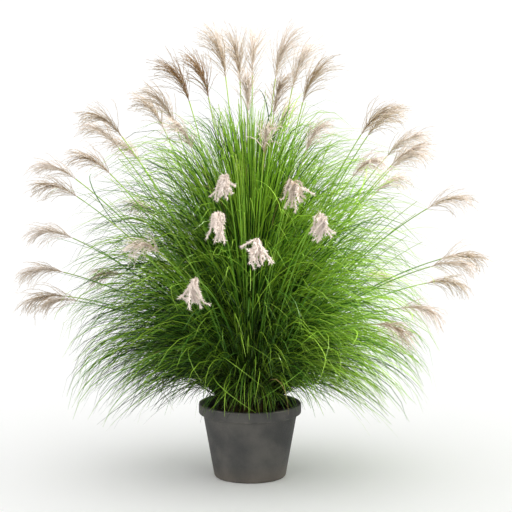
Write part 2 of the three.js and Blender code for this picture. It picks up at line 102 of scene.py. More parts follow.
def unit(vectors: Array) -> Array:
    """Returns vectors of length 1 with the same directions."""
    return vectors / np.maximum(np.linalg.norm(vectors, axis=-1, keepdims=True), 1e-9)


def ring(sides: int) -> Array:
    """Returns the level directions of even steps all round."""
    return outwards(np.arange(sides) * 2 * math.pi / sides)


def leaning(angle: Array) -> Array:
    """Returns directions in an upright plane, as (outwards, up), at each angle from upright."""
    return np.stack([np.sin(angle), np.cos(angle)], axis=-1)


def swung(line: Array, azimuth: Array) -> Array:
    """Swings points of (outwards, up) from the crown round to their azimuths."""
    return outwards(azimuth) * line[..., :1] + (SOIL_TOP + line[..., 1:]) * UP


def add_object(name: str, data: bpy.types.ID) -> bpy.types.Object:
    """Adds an object to the scene, at the origin.

    Args:
        name: What it is called.
        data: Its mesh, light or camera.

    Returns:
        The object.
    """
    added = bpy.data.objects.new(name, data)
    bpy.context.scene.collection.objects.link(added)
    return added


def bezier(corners: Sequence[Array], steps: int) -> Array:
    """Works out cubic curves, with their points closer together towards the end, where leaves bend most.

    Args:
        corners: The four control points of every curve, each an array of (curve, coordinate).
        steps: How many points each curve gets.

    Returns:
        The points, as (curve, step, coordinate).
    """
    even = np.linspace(0, 1, steps)[None, :, None]
    t = even * (1 + END_CROWDING - END_CROWDING * even)
    first, second, third, last = (corner[:, None, :] for corner in corners)
    return (1 - t) ** 3 * first + 3 * t * (1 - t) ** 2 * second + 3 * t**2 * (1 - t) * third + t**3 * last


@dataclass
class Arch:
    """Arched lines in upright planes through the plant's axis, as (outwards, up) from the crown."""

    start: Array
    end: Array
    start_lean: Array
    end_lean: Array
    start_reach: float
    end_reach: float
    most_back: float = 0.75
    least_sine: float = 0.05

    def points(self, steps: int) -> Array:
        """Works out the lines, none of which turns back towards the axis.

        Args:
            steps: How many points each line gets.

        Returns:
            The points, as (line, step, 2).
        """
        chord = np.linalg.norm(self.end - self.start, axis=-1)
        out = self.end[:, 0] - self.start[:, 0]
        most_back = self.most_back * out / np.maximum(self.least_sine, np.sin(self.end_lean))
        back = np.minimum(chord * self.end_reach, most_back)
        second = self.start + leaning(self.start_lean) * (chord * self.start_reach)[:, None]
        third = self.end - leaning(self.end_lean) * back[:, None]
        return bezier([self.start, second, third, self.end], steps)


class Wire:
    """The output of a node, which sums can be written with."""

    def __init__(self, bench: "Bench", socket: bpy.types.NodeSocket) -> None:
        """Takes the bench that the node is on and its output."""
        self.bench = bench
        self.socket = socket

    def sum(self, operation: str, *values: "Wire | float") -> "Wire":
        """Adds a Math node that works on the given values."""
        return self.bench.node("ShaderNodeMath", {"operation": operation}, dict(enumerate(values)))

    def first(self, operation: str, other: "Wire | float") -> "Wire":
        """Works on this value and another."""
        return self.sum(operation, self, other)

    def second(self, operation: str, other: float) -> "Wire":
        """Works on a number and this value."""
        return self.sum(operation, other, self)

    __add__ = partialmethod(first, "ADD")
    __radd__ = partialmethod(second, "ADD")
    __sub__ = partialmethod(first, "SUBTRACT")
    __rsub__ = partialmethod(second, "SUBTRACT")
    __mul__ = partialmethod(first, "MULTIPLY")
    __rmul__ = partialmethod(second, "MULTIPLY")
    __truediv__ = partialmethod(first, "DIVIDE")
    __pow__ = partialmethod(first, "POWER")

    def size(self) -> "Wire":
        """Drops the sign."""
        return self.sum("ABSOLUTE", self)

    def between(self, low: float, high: float) -> "Wire":
        """Maps low to 0 and high to 1, with no more on either side.

        Args:
            low: What becomes 0.
            high: What becomes 1; it may be less than low.

        Returns:
            The mapped value.
        """
        settings = {"interpolation_type": "SMOOTHSTEP"} if high > low else {}
        inputs = {"Value": self, "From Min": low, "From Max": high}
        return self.bench.node("ShaderNodeMapRange", settings, inputs)


class Bench:
    """A node tree, of geometry or of a material, with the ways in which nodes are set out in it."""

    def __init__(self, tree: bpy.types.NodeTree) -> None:
        """Takes the tree to work in."""
        self.tree = tree
        self.material: bpy.types.Material | None = None

    def node(
        self, kind: str, settings: Settings | None = None, inputs: Inputs | None = None, output: int | str = 0
    ) -> Wire:
        """Adds a node.

        Args:
            kind: The node's type.
            settings: Its own settings, made first. A ramp's stops are a list of (place, colour).
            inputs: What each input holds: a value, a wire, or a list of wires.
            output: Which output the wire comes from.

        Returns:
            The wire of that output.
        """
        made = self.tree.nodes.new(kind)
        for name, value in (settings or {}).items():
            if name == "stops":
                self.set_stops(made.color_ramp, value)
            else:
                setattr(made, name, value)
        for key, value in (inputs or {}).items():
            for one in value if isinstance(value, list) else [value]:
                if isinstance(one, Wire):
                    self.tree.links.new(one.socket, made.inputs[key])
                else:
                    made.inputs[key].default_value = one
        return Wire(self, made.outputs[output])

    @classmethod
    def of_material(cls, name: str) -> "Bench":
        """Starts an empty material.

        Args:
            name: What the material is called.

        Returns:
            The bench to set out its nodes on.
        """
        material = bpy.data.materials.new(name)
        material.use_nodes = True
        material.node_tree.nodes.clear()
        bench = cls(material.node_tree)
        bench.material = material
        return bench

    def seal(self, shader: Wire) -> bpy.types.Material:
        """Ends the material.

        Args:
            shader: What its surface is.

        Returns:
            The material.
        """
        end = self.tree.nodes.new("ShaderNodeOutputMaterial")
        self.tree.links.new(shader.socket, end.inputs["Surface"])
        return self.material

    @staticmethod
    def set_stops(ramp: bpy.types.ColorRamp, stops: list[tuple[float, Colour]]) -> None:
        """Sets the stops of a colour ramp.

        Args:
            ramp: The ramp of a new node, which has two stops.
            stops: The place and the colour of each stop, in order.
        """
        while len(ramp.elements) < len(stops):
            ramp.elements.new(0.5)
        for element, (place, colour) in zip(ramp.elements, stops):
            element.position = place
            element.color = colour

    def attribute(self, name: str) -> Wire:
        """Reads a number that the piece's mesh keeps at its points."""
        return self.node("ShaderNodeAttribute", {"attribute_name": name}, output="Fac")

    def mix(self, share: Wire | float, first: Wire | Colour, second: Wire | Colour) -> Wire:
        """Mixes two colours, with the second at a share of 1."""
        return self.node("ShaderNodeMix", {"data_type": "RGBA"}, {0: share, 6: first, 7: second}, output=2)

    def noise(self, place: Wire, scale: float, detail: float = 3.0) -> Wire:
        """Adds noise from 0 to 1, by its size and detail."""
        return self.node("ShaderNodeTexNoise", {}, {"Vector": place, "Scale": scale, "Detail": detail}, "Fac")

    def place(self) -> Wire:
        """Reads where on the piece each point is."""
        return self.node("ShaderNodeTexCoord", output="Object")

    def part(self, vector: Wire, axis: str) -> Wire:
        """Takes one number out of a vector."""
        return self.node("ShaderNodeSeparateXYZ", {}, {0: vector}, axis)

    def vector(self, *numbers: Wire | float) -> Wire:
        """Makes a vector of three numbers."""
        return self.node("ShaderNodeCombineXYZ", {}, dict(enumerate(numbers)))

    def ramp(self, share: Wire, stops: list[tuple[float, Colour]]) -> Wire:
        """Colours a share by a ramp."""
        return self.node("ShaderNodeValToRGB", {"stops": stops}, {"Fac": share}, "Color")

    def relief(self, height: Wire, strength: float, depth: float) -> Inputs:
        """Returns what gives a surface fine relief of this height, strength and depth."""
        inputs = {"Strength": strength, "Distance": depth, "Height": height}
        return {"Normal": self.node("ShaderNodeBump", {}, inputs, "Normal")}

    def surface(self, colour: Wire | Colour, roughness: Wire | float, gloss: float, more: Inputs) -> Wire:
        """Adds the shader of a surface, by its colour, roughness and gloss and by what else its inputs hold."""
        inputs = {"Base Color": colour, "Roughness": roughness, "Specular IOR Level": gloss, **more}
        return self.node("ShaderNodeBsdfPrincipled", {}, inputs, "BSDF")

    def lit_through(self, front: Wire, glow: Colour, share: Wire | float) -> Wire:
        """Lets a share of the light through a surface, in the colour of its glow."""
        behind = self.node("ShaderNodeBsdfTranslucent", {}, {"Color": glow}, "BSDF")
        return self.node("ShaderNodeMixShader", {}, {0: share, 1: front, 2: behind}, "Shader")


class Recipe(Bench):
    """A Geometry Nodes tree with named sizes, which turns guide lines or a surface into a piece."""

    def __init__(self, name: str, sizes: dict[str, str]) -> None:
        """Starts the tree.

        Args:
            name: What the tree is called.
            sizes: The type of each named input besides the geometry and the finish.
        """
        tree = bpy.data.node_groups.new(name, "GeometryNodeTree")
        tree.interface.new_socket("Geometry", in_out="OUTPUT", socket_type="NodeSocketGeometry")
        labels = {"Geometry": "NodeSocketGeometry", "Finish": "NodeSocketMaterial", **sizes}
        for label, kind in labels.items():
            tree.interface.new_socket(label, in_out="INPUT", socket_type=kind)
        super().__init__(tree)
        self.entry = tree.nodes.new("NodeGroupInput")

    def given(self, label: str) -> Wire:
        """Returns the named input."""
        return Wire(self, self.entry.outputs[label])

    def named(self, name: str, kind: str = "FLOAT") -> Wire:
        """Reads what the guide lines keep at their points under a name."""
        return self.node("GeometryNodeInputNamedAttribute", {"data_type": kind}, {"Name": name})

    def chance(self, low: float, high: float, seed: int) -> Wire:
        """Draws a number for each point or instance, from a low to a high value, with its own seed."""
        return self.node("FunctionNodeRandomValue", {}, {2: low, 3: high, "Seed": seed}, output=1)

    def close(self, geometry: Wire | list[Wire]) -> None:
        """Ends the tree: instances become real and everything takes the finish.

        Args:
            geometry: What the piece is made of.
        """
        joined = self.node("GeometryNodeJoinGeometry", {}, {"Geometry": geometry})
        real = self.node("GeometryNodeRealizeInstances", {}, {"Geometry": joined})
        inputs = {"Geometry": real, "Material": self.given("Finish")}
        dressed = self.node("GeometryNodeSetMaterial", {}, inputs)
        end = self.tree.nodes.new("NodeGroupOutput")
        self.tree.links.new(dressed.socket, end.inputs["Geometry"])

    def grow(self, mesh: bpy.types.Mesh, name: str, values: dict[str, object]) -> bpy.types.Object:
        """Runs the tree on a mesh.

        Args:
            mesh: The guide lines or the surface.
            name: What the piece is called.
            values: What each named input holds.

        Returns:
            The piece, with a plain mesh.
        """
        source = add_object(f"{name}_guides", mesh)
        modifier = source.modifiers.new("grow", "NODES")
        modifier.node_group = self.tree
        for item in self.tree.interface.items_tree:
            if item.in_out == "INPUT" and item.name in values:
                modifier[item.identifier] = values[item.name]
        evaluated = source.evaluated_get(bpy.context.evaluated_depsgraph_get())
        result = bpy.data.meshes.new_from_object(evaluated)
        source.modifiers.remove(modifier)
        bpy.data.objects.remove(source)
        bpy.data.meshes.remove(mesh)
        result.name = name
        return add_object(name, result)


class SweepRecipe(Recipe):
    """Sweeps a section along guide lines: a keeled blade with three corners, or a round stem with more."""

    def __init__(self) -> None:
        """Sets out the tree."""
        super().__init__("swept_sections", {"Corners": "NodeSocketInt", "Depth": "NodeSocketFloat"})
        self.close(self.sharp_lengthwise(self.swept(self.lines())))

    def lines(self) -> Wire:
        """Turns the guide lines into curves.

        Returns:
            The curves, whose normals are the side directions of the lines.
        """
        lines = self.node("GeometryNodeMeshToCurve", {}, {"Mesh": self.given("Geometry")})
        inputs = {"Curve": lines, "Normal": self.named("side", "FLOAT_VECTOR")}
        return self.node("GeometryNodeSetCurveNormal", {"mode": "FREE"}, inputs)

    def swept(self, lines: Wire) -> Wire:
        """Sweeps the section, whose points keep how far across the blade they are.

        Args:
            lines: The curves.

        Returns:
            The closed walls.
        """
        circle = self.node("GeometryNodeCurvePrimitiveCircle", {}, {"Resolution": self.given("Corners"), 4: 1.0})
        place = self.part(self.node("GeometryNodeInputPosition"), "Y")
        store = {"Geometry": circle, "Name": "across", "Value": place / math.cos(math.pi / (2 * BLADE_CORNERS))}
        marked = self.node("GeometryNodeStoreNamedAttribute", {"data_type": "FLOAT"}, store)
        flat = self.vector(self.given("Depth"), 1.0, 1.0)
        placed = {"Geometry": marked, "Scale": flat, "Rotation": (0.0, 0.0, -math.pi / 2)}
        profile = self.node("GeometryNodeTransform", {}, placed)
        sweep = {"Curve": lines, "Profile Curve": profile, "Scale": self.named("half_width"), "Fill Caps": True}
        return self.node("GeometryNodeCurveToMesh", {}, sweep)

    def sharp_lengthwise(self, walls: Wire) -> Wire:
        """Makes the lengthwise edges of a keeled blade sharp and leaves the rest smooth.

        Args:
            walls: The swept walls.

        Returns:
            The walls with their edges marked.
        """
        ends = [self.node("GeometryNodeInputMeshEdgeVertices", output=end) for end in (0, 1)]
        across = self.named("across")
        low, high = (
            self.node("GeometryNodeFieldAtIndex", {"domain": "POINT"}, {"Index": end, "Value": across})
            for end in ends
        )
        change = (low - high).size() + (self.given("Corners") - BLADE_CORNERS).size()
        lengthwise = self.node("FunctionNodeCompare", {"operation": "LESS_THAN"}, {0: change, 1: 0.01})
        inputs = {"Geometry": walls, "Selection": lengthwise, "Shade Smooth": False}
        return self.node("GeometryNodeSetShadeSmooth", {"domain": "EDGE"}, inputs)


class PlumeRecipe(SweepRecipe):
    """Sweeps the slender branches of a plume and sets silky hairs along them.

    The hairs keep between two shares of the given spread, width and length.
    """

    spreads: tuple[float, float] = (0.25, 1.0)
    widths: tuple[float, float] = (0.7, 1.3)
    lengths: tuple[float, float] = (0.6, 1.25)

    def __init__(self) -> None:
        """Sets out the tree."""
        sizes = dict.fromkeys(("Depth", "Hair length", "Hair width", "Hair spread"), "NodeSocketFloat")
        Recipe.__init__(self, "silky_plume", {**sizes, "Corners": "NodeSocketInt", "Hairs": "NodeSocketInt"})
        lines = self.lines()
        self.close([self.swept(lines), self.hairs(lines)])

    def hairs(self, lines: Wire) -> Wire:
        """Sets hairs along the branches, each tilted away from its branch to its own side.

        Args:
            lines: The branches as curves.

        Returns:
            The hairs as instances.
        """
        count = {"Curve": lines, "Count": self.given("Hairs")}
        points = self.node("GeometryNodeCurveToPoints", {"mode": "COUNT"}, count)
        along = Wire(self, points.socket.node.outputs["Rotation"])
        cone = {"Vertices": 3, "Radius Top": 0.0, "Radius Bottom": 1.0, "Depth": 1.0}
        hair = self.node("GeometryNodeMeshCone", {"fill_type": "NGON"}, cone)
        tilt = self.given("Hair spread") * self.chance(*self.spreads, 1)
        tilted = self.vector(tilt, 0.0, self.chance(0.0, 2 * math.pi, 2))
        by = self.node("FunctionNodeEulerToRotation", {}, {"Euler": tilted})
        inputs = {"Rotation": along, "Rotate By": by}
        aimed = self.node("FunctionNodeRotateRotation", {"rotation_space": "LOCAL"}, inputs)
        width = self.given("Hair width") * self.chance(*self.widths, 3)
        length = self.given("Hair length") * self.chance(*self.lengths, 4)
        size = self.vector(width, width, length)
        inputs = {"Points": points, "Instance": hair, "Rotation": aimed, "Scale": size}
        return self.node("GeometryNodeInstanceOnPoints", {}, inputs)


class CrumbRecipe(Recipe):
    """Strews crumbs of compost over a surface, each squashed and turned its own way."""

    least_upward: float = 0.5
    stretches: tuple[float, float] = (0.35, 1.2)

    def __init__(self) -> None:
        """Sets out the tree."""
        sizes = {"Crumb size": "NodeSocketFloat", "Crumbs to a square metre": "NodeSocketFloat"}
        super().__init__("strewn_crumbs", sizes)
        surface = self.given("Geometry")
        height = self.part(self.node("GeometryNodeInputNormal"), "Z")
        upward = self.node("FunctionNodeCompare", {"operation": "GREATER_THAN"}, {0: height, 1: self.least_upward})
        strewn = {"Mesh": surface, "Selection": upward, "Density": self.given("Crumbs to a square metre"), "Seed": 5}
        points = self.node("GeometryNodeDistributePointsOnFaces", {}, strewn)
        crumb = self.node("GeometryNodeMeshIcoSphere", {}, {"Radius": 1.0, "Subdivisions": 1})
        turn = self.vector(*(self.chance(0.0, 6.0, seed) for seed in (1, 2, 3)))
        turned = self.node("FunctionNodeEulerToRotation", {}, {"Euler": turn})
        size = self.vector(*(self.given("Crumb size") * self.chance(*self.stretches, seed) for seed in (4, 5, 6)))
        inputs = {"Points": points, "Instance": crumb, "Rotation": turned, "Scale": size}
        self.close([surface, self.node("GeometryNodeInstanceOnPoints", {}, inputs)])


@dataclass
class GuideLines:
    """Lines that sections are swept along, with what each point of them keeps."""

    places: list[Array] = field(default_factory=list)
    sides: list[Array] = field(default_factory=list)
    numbers: dict[str, list[Array]] = field(default_factory=dict)
    edges: list[Array] = field(default_factory=list)
    count: int = 0

    def add(self, points: Array, across: Array, half_widths: Array, **numbers: Array) -> None:
        """Adds lines that all have as many points.

        Args:
            points: Their points, as (line, point, 3).
            across: The direction across each line's blade, which is made square to the line.
            half_widths: Half the width at each point, as (line, point).
            numbers: Other numbers for each point, as (line, point) or what fills that.
        """
        lines, steps = points.shape[:2]
        along = unit(np.gradient(points, axis=1))
        square = np.broadcast_to(across, points.shape)
        square = unit(square - along * np.sum(square * along, axis=-1, keepdims=True))
        self.places.append(points.reshape(-1, 3))
        self.sides.append(square.reshape(-1, 3))
        share = np.broadcast_to(np.linspace(0, 1, steps), (lines, steps))
        for name, values in {"half_width": half_widths, "along": share, **numbers}.items():
            self.numbers.setdefault(name, []).append(np.broadcast_to(values, (lines, steps)).reshape(-1))
        first = self.count + (np.arange(lines)[:, None] * steps + np.arange(steps - 1)).reshape(-1)
        self.edges.append(np.stack([first, first + 1], axis=-1))
        self.count += lines * steps

    def mesh(self, name: str) -> bpy.types.Mesh:
        """Makes the lines a mesh of edges, with their numbers as attributes.

        Args:
            name: What the mesh is called.

        Returns:
            The mesh.
        """
        mesh = bpy.data.meshes.new(name)
        places, edges = np.concatenate(self.places), np.concatenate(self.edges)
        mesh.vertices.add(len(places))
        mesh.vertices.foreach_set("co", places.astype(np.float32).ravel())
        mesh.edges.add(len(edges))
        mesh.edges.foreach_set("vertices", edges.astype(np.int32).ravel())
        side = mesh.attributes.new("side", "FLOAT_VECTOR", "POINT")
        side.data.foreach_set("vector", np.concatenate(self.sides).astype(np.float32).ravel())
        for label, values in self.numbers.items():
            attribute = mesh.attributes.new(label, "FLOAT", "POINT")
            attribute.data.foreach_set("value", np.concatenate(values).astype(np.float32))
        return mesh


@dataclass(frozen=True)
class LeafFinish:
    """The skin of the leaves: green with a pale midrib, dark brown near the crown (some real browning, mostly
    painted shade), and lighter and yellower towards the key lamp on the right (painted light).

    Weights say how much of a thing goes into the lightness. Of two numbers for a change, the first is where it
    starts; of two for a roughness or a glow, the second is added in full where it is strongest.
    """

    shade_green: Colour = tint("0a2607")
    leaf_green: Colour = tint("3a7816")
    light_green: Colour = tint("a3cd3c")
    tip_green: Colour = tint("8ba84a")
    # Painted shade with some real browning: the near-black brown of the leaves low in the clump near the crown.
    root_brown_and_shade: Colour = tint("17140a")
    straw: Colour = tint("a98f5c")
    midrib: Colour = tint("a3c466")
    glow: Colour = tint("b1d044")
    green_place: float = 0.45
    green_range: tuple[float, float] = (0.66, 1.7)
    tone_weight: float = 1.4
    mottle_weight: float = 0.35
    mottle_scale: float = 2.3
    along_weight: float = 0.15
    # Painted light: the leaves are lighter and yellower towards the right, where the key lamp stands.
    painted_sunlight_weight: float = 0.3
    painted_sunlit_side: tuple[float, float] = (-0.05, 0.3)
    painted_sunlit_side_weight: float = 0.24
    # Painted shade: the nearer to the plant's axis, the darker the leaves.
    painted_inner_shade_weight: float = 0.56
    # Painted light: the leaves are lighter higher up and darker lower down.
    painted_top_light_weight: float = 0.4
    middle_height: float = 0.75
    tip_share: float = 0.45
    # Painted shade with some real browning: where the leaves turn dark brown, low down and near the axis.
    root_heights: tuple[float, float] = (0.5, 0.05)
    root_radii: tuple[float, float] = (0.36, 0.1)
    dry_share: float = 0.005
    dry_tip: tuple[float, float] = (0.93, 1.0)
    dry_tip_share: float = 0.5
    midrib_width: tuple[float, float] = (0.2, 0.05)
    midrib_share: float = 0.25
    veins: float = 26.0
    fine_scale: float = 420.0
    relief: tuple[float, float] = (0.25, 0.0003)
    roughness: tuple[float, float] = (0.36, 0.2)
    gloss: float = 0.13
    coat: float = 0.5
    coat_roughness: float = 0.24
    glow_lengths: tuple[float, float] = (0.05, 0.5)
    glow_shares: tuple[float, float] = (0.02, 0.28)

    def lightness(self, bench: Bench, place: Wire) -> Wire:
        """Works out how light the green is: each leaf has its own tone, to which painted light adds more on the
        right, towards the key lamp, and higher up, and painted shade takes some away near the axis.

        Args:
            bench: Where the nodes go.
            place: Where on the plant each point is.

        Returns:
            The lightness, from 0 to 1.
        """
        right, height = bench.part(place, "X"), bench.part(place, "Z")
        mottle = bench.noise(place, self.mottle_scale, 2.0) * self.mottle_weight
        along = bench.attribute("along") * self.along_weight
        # Painted light: lighter towards the key lamp on the right.
        painted_sunlight = right * self.painted_sunlight_weight + right.between(*self.painted_sunlit_side) * self.painted_sunlit_side_weight
        # Painted shade near the axis and painted light higher up.
        out, high = self.out(bench, place) * self.painted_inner_shade_weight, (height - self.middle_height) * self.painted_top_light_weight
        own = bench.attribute("tone") * self.tone_weight
        return (own + mottle + along + painted_sunlight + out + high).between(*self.green_range)

    @staticmethod
    def out(bench: Bench, place: Wire) -> Wire:
        """Returns how far from the plant's axis each point is."""
        right, back = bench.part(place, "X"), bench.part(place, "Y")
        return (right * right + back * back) ** 0.5

    def coloured(self, bench: Bench, place: Wire, lightness: Wire) -> Wire:
        """Works out the colour: green, dark brown near the crown (some real browning, mostly painted shade), straw
        where a leaf is dry, and pale at the midrib.

        Args:
            bench: Where the nodes go.
            place: Where on the plant each point is.
            lightness: How light the green is.

        Returns:
            The colour.
        """
        along, tone, across = (bench.attribute(name) for name in ("along", "tone", "across"))
        stops = [(0.0, self.shade_green), (self.green_place, self.leaf_green), (1.0, self.light_green)]
        tipped = bench.mix((along**3.0) * self.tip_share * lightness, bench.ramp(lightness, stops), self.tip_green)
        # Painted shade with some real browning: dark brown low down near the axis.
        low = bench.part(place, "Z").between(*(SOIL_TOP + height for height in self.root_heights))
        rooted = bench.mix(low * self.out(bench, place).between(*self.root_radii), tipped, self.root_brown_and_shade)
        dry_tip = (along - 0.25 * tone).between(*self.dry_tip) * self.dry_tip_share
        dryness = (tone.between(self.dry_share, 0.0) + dry_tip).between(0.0, 1.0)
        midrib = across.size().between(*self.midrib_width) * self.midrib_share
        return bench.mix(midrib, bench.mix(dryness, rooted, self.straw), self.midrib)

    def material(self) -> bpy.types.Material:
        """Makes the material, which reads along, tone and across from the blades.

        Returns:
            The material.
        """
        bench = Bench.of_material("grass_leaf")
        place = bench.place()
        lightness = self.lightness(bench, place)
        ridges = bench.attribute("across") * self.veins
        fine = bench.noise(place, self.fine_scale, 1.0)
        relief = bench.relief(ridges.sum("SINE", ridges) * 0.5 + fine * 0.6, *self.relief)
        coat = {"Coat Weight": lightness * self.coat, "Coat Roughness": self.coat_roughness}
        smooth, added = self.roughness
        rough = smooth + added * bench.noise(place, 60.0)
        skin = bench.surface(self.coloured(bench, place, lightness), rough, self.gloss, coat | relief)
        least, more = self.glow_shares
        share = bench.attribute("along").between(*self.glow_lengths) * (least + more * lightness)
        return bench.seal(bench.lit_through(skin, self.glow, share))


@dataclass(frozen=True)
class StemFinish:
    """The skin of the flowering stems and of the sheaths at their foot: smooth, yellow-green, browner below."""

    foot: Colour = tint("3a2c12")
    lower: Colour = tint("2f6413")
    upper: Colour = tint("84b22c")
    ripe: Colour = tint("a9b04a")
    foot_heights: tuple[float, float] = (0.25, 0.05)
    full_height: float = 1.1
    tone_weight: float = 0.3
    mottle_weight: float = 0.2
    upper_range: tuple[float, float] = (0.3, 1.2)
    ripe_lengths: tuple[float, float] = (0.75, 1.0)
    ripe_shares: tuple[float, float] = (0.2, 0.4)
    streak_scale: float = 240.0
    relief: tuple[float, float] = (0.2, 0.0003)
    roughness: tuple[float, float] = (0.32, 0.2)
    gloss: float = 0.55

    def material(self) -> bpy.types.Material:
        """Makes the material, which reads tone and along from the stems.

        Returns:
            The material.
        """
        bench = Bench.of_material("grass_stem")
        place = bench.place()
        height = bench.part(place, "Z") - SOIL_TOP
        tone, along = bench.attribute("tone"), bench.attribute("along")
        mottle = self.mottle_weight * bench.noise(place, 9.0)
        share = (height / self.full_height + self.tone_weight * tone + mottle).between(*self.upper_range)
        least, more = self.ripe_shares
        ripeness = along.between(*self.ripe_lengths) * (least + more * tone)
        ripened = bench.mix(ripeness, bench.mix(share, self.lower, self.upper), self.ripe)
        rooted = bench.mix(height.between(*self.foot_heights), ripened, self.foot)
        streaks = bench.noise(place, self.streak_scale, 2.0)
        smooth, added = self.roughness
        relief = bench.relief(streaks, *self.relief)
        return bench.seal(bench.surface(rooted, smooth + added * streaks, self.gloss, relief))


@dataclass(frozen=True)
class PlumeFinish:
    """Silky hairs: golden brown while they open, then buff, then nearly white."""

    brown: Colour = tint("8a6a44")
    buff: Colour = tint("b5a081")
    blush: Colour = tint("d4c6b6")
    cream: Colour = tint("f4e8df")
    glow: Colour = tint("cfc6b8")
    buff_place: float = 0.35
    blush_place: float = 0.65
    along_weight: float = 0.22
    mottle_weight: float = 0.35
    mottle_scale: float = 55.0
    glow_share: float = 0.25
    roughness: tuple[float, float] = (0.5, 0.25)
    gloss: float = 0.2

    def material(self) -> bpy.types.Material:
        """Makes the material, which reads along and tone from the branches.

        Returns:
            The material.
        """
        bench = Bench.of_material("silky_plume")
        place = bench.place()
        along = self.along_weight * (bench.attribute("along") - 0.5)
        mottle = self.mottle_weight * (bench.noise(place, self.mottle_scale) - 0.5)
        share = (bench.attribute("tone") + along + mottle).between(0.0, 1.0)
        middle = [(self.buff_place, self.buff), (self.blush_place, self.blush)]
        colour = bench.ramp(share, [(0.0, self.brown), *middle, (1.0, self.cream)])
        smooth, added = self.roughness
        silk = bench.surface(colour, smooth + added * bench.noise(place, 300.0, 1.0), self.gloss, {})
        return bench.seal(bench.lit_through(silk, self.glow, self.glow_share))


@dataclass(frozen=True)
class PotFinish:
    """Matte charcoal fibre clay: cloudy, finely pitted, paler where the rim is rubbed, dusty at the foot."""

    charcoal: Colour = tint("3b3b3a")
    cloud: Colour = tint("55534f")
    rubbed: Colour = tint("807b73")
    dust: Colour = tint("6f665a")
    cloud_range: tuple[float, float] = (0.35, 0.7)
    dust_height: float = 0.06
    wear_weight: float = 1.6
    rubbed_range: tuple[float, float] = (0.35, 0.9)
    fibre_scale: tuple[float, float, float] = (90.0, 90.0, 420.0)
    pit_range: tuple[float, float] = (0.36, 0.5)
    relief: tuple[float, float] = (0.45, 0.0012)
    roughness: tuple[float, float] = (0.62, 0.25)
    gloss: float = 0.4

    def material(self) -> bpy.types.Material:
        """Makes the material, which reads wear from the pot's rim and foot.

        Returns:
            The material.
        """
        bench = Bench.of_material("fibre_clay")
        place = bench.place()
        clouds, grain = bench.noise(place, 9.0, 6.0), bench.noise(place, 210.0, 3.0)
        base = bench.mix(clouds.between(*self.cloud_range), self.charcoal, self.cloud)
        dusty = bench.mix(bench.part(place, "Z").between(self.dust_height, 0.0) * clouds, base, self.dust)
        wear = bench.attribute("wear") * self.wear_weight * bench.noise(place, 40.0, 5.0)
        worn = bench.mix(wear.between(*self.rubbed_range), dusty, self.rubbed)
        fibres = bench.node("ShaderNodeVectorMath", {"operation": "MULTIPLY"}, {0: place, 1: self.fibre_scale})
        pits = grain.between(*self.pit_range) + 0.35 * bench.noise(fibres, 1.0, 2.0) + 0.5 * clouds
        smooth, added = self.roughness
        relief = bench.relief(pits, *self.relief)
        return bench.seal(bench.surface(worn, smooth + added * grain, self.gloss, relief))


@dataclass(frozen=True)
class CompostFinish:
    """Moist dark compost with paler bits of bark."""

    dark: Colour = tint("1d1510")
    brown: Colour = tint("3d2c1e")
    bark: Colour = tint("6f5437")
    brown_range: tuple[float, float] = (0.35, 0.7)
    bark_range: tuple[float, float] = (0.86, 0.95)
    lump_scale: float = 70.0
    bit_scale: float = 95.0
    relief: tuple[float, float] = (0.8, 0.003)
    roughness: tuple[float, float] = (0.8, 0.15)
    gloss: float = 0.25

    def material(self) -> bpy.types.Material:
        """Makes the material.

        Returns:
            The material.
        """
        bench = Bench.of_material("potting_compost")
        place = bench.place()
        lumps = bench.noise(place, self.lump_scale, 5.0)
        inputs = {"Vector": place, "Scale": self.bit_scale}
        bits = bench.node("ShaderNodeTexVoronoi", {"feature": "F1"}, inputs, "Color")
        earth = bench.mix(lumps.between(*self.brown_range), self.dark, self.brown)
        mixed = bench.mix(bench.part(bits, "X").between(*self.bark_range), earth, self.bark)
        relief = bench.relief(lumps + 0.4 * bench.noise(place, 400.0, 2.0), *self.relief)
        smooth, added = self.roughness
        return bench.seal(bench.surface(mixed, smooth + added * lumps, self.gloss, relief))


def dress(piece: bpy.types.Object, finish: bpy.types.Material, nodes: Sequence[str]) -> None:
    """Gives a finished piece its place in the model.

    Args:
        piece: The piece, at the origin.
        finish: Its material.
        nodes: The solids that it stands for.
    """
    piece.data.materials.clear()
    piece.data.materials.append(finish)
    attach(piece, "root")
    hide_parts(*nodes)
    log.info("%s: %d faces", piece.name, len(piece.data.polygons))


def turned_solid(name: str, profile: Sequence[tuple[float, float]], sides: int) -> bpy.types.Object:
    """Turns a profile about the upright axis into a closed smooth solid.

    Args:
        name: What the piece is called.
        profile: Points of (radius, height) from the axis at the bottom, outside, to the axis again.
        sides: How many steps go round.

    Returns:
        The piece.
    """
    inner = np.array(profile[1:-1])
    rings = inner[:, None, 0, None] * ring(sides)[None] + inner[:, None, 1, None] * UP
    points = np.concatenate([rings.reshape(-1, 3), [[0, 0, profile[0][1]], [0, 0, profile[-1][1]]]])
    bottom, top = len(points) - 2, len(points) - 1
    faces = []
    for turn in range(sides):
        after = (turn + 1) % sides
        faces.append((bottom, after, turn))
        for low in range(0, (len(inner) - 1) * sides, sides):
            high = low + sides
            faces.append((low + turn, low + after, high + after, high + turn))
        last = (len(inner) - 1) * sides
        faces.append((last + turn, last + after, top))
    mesh = bpy.data.meshes.new(name)
    mesh.from_pydata(points.tolist(), [], faces)
    mesh.polygons.foreach_set("use_smooth", [True] * len(mesh.polygons))
    mesh.update()
    return add_object(name, mesh)


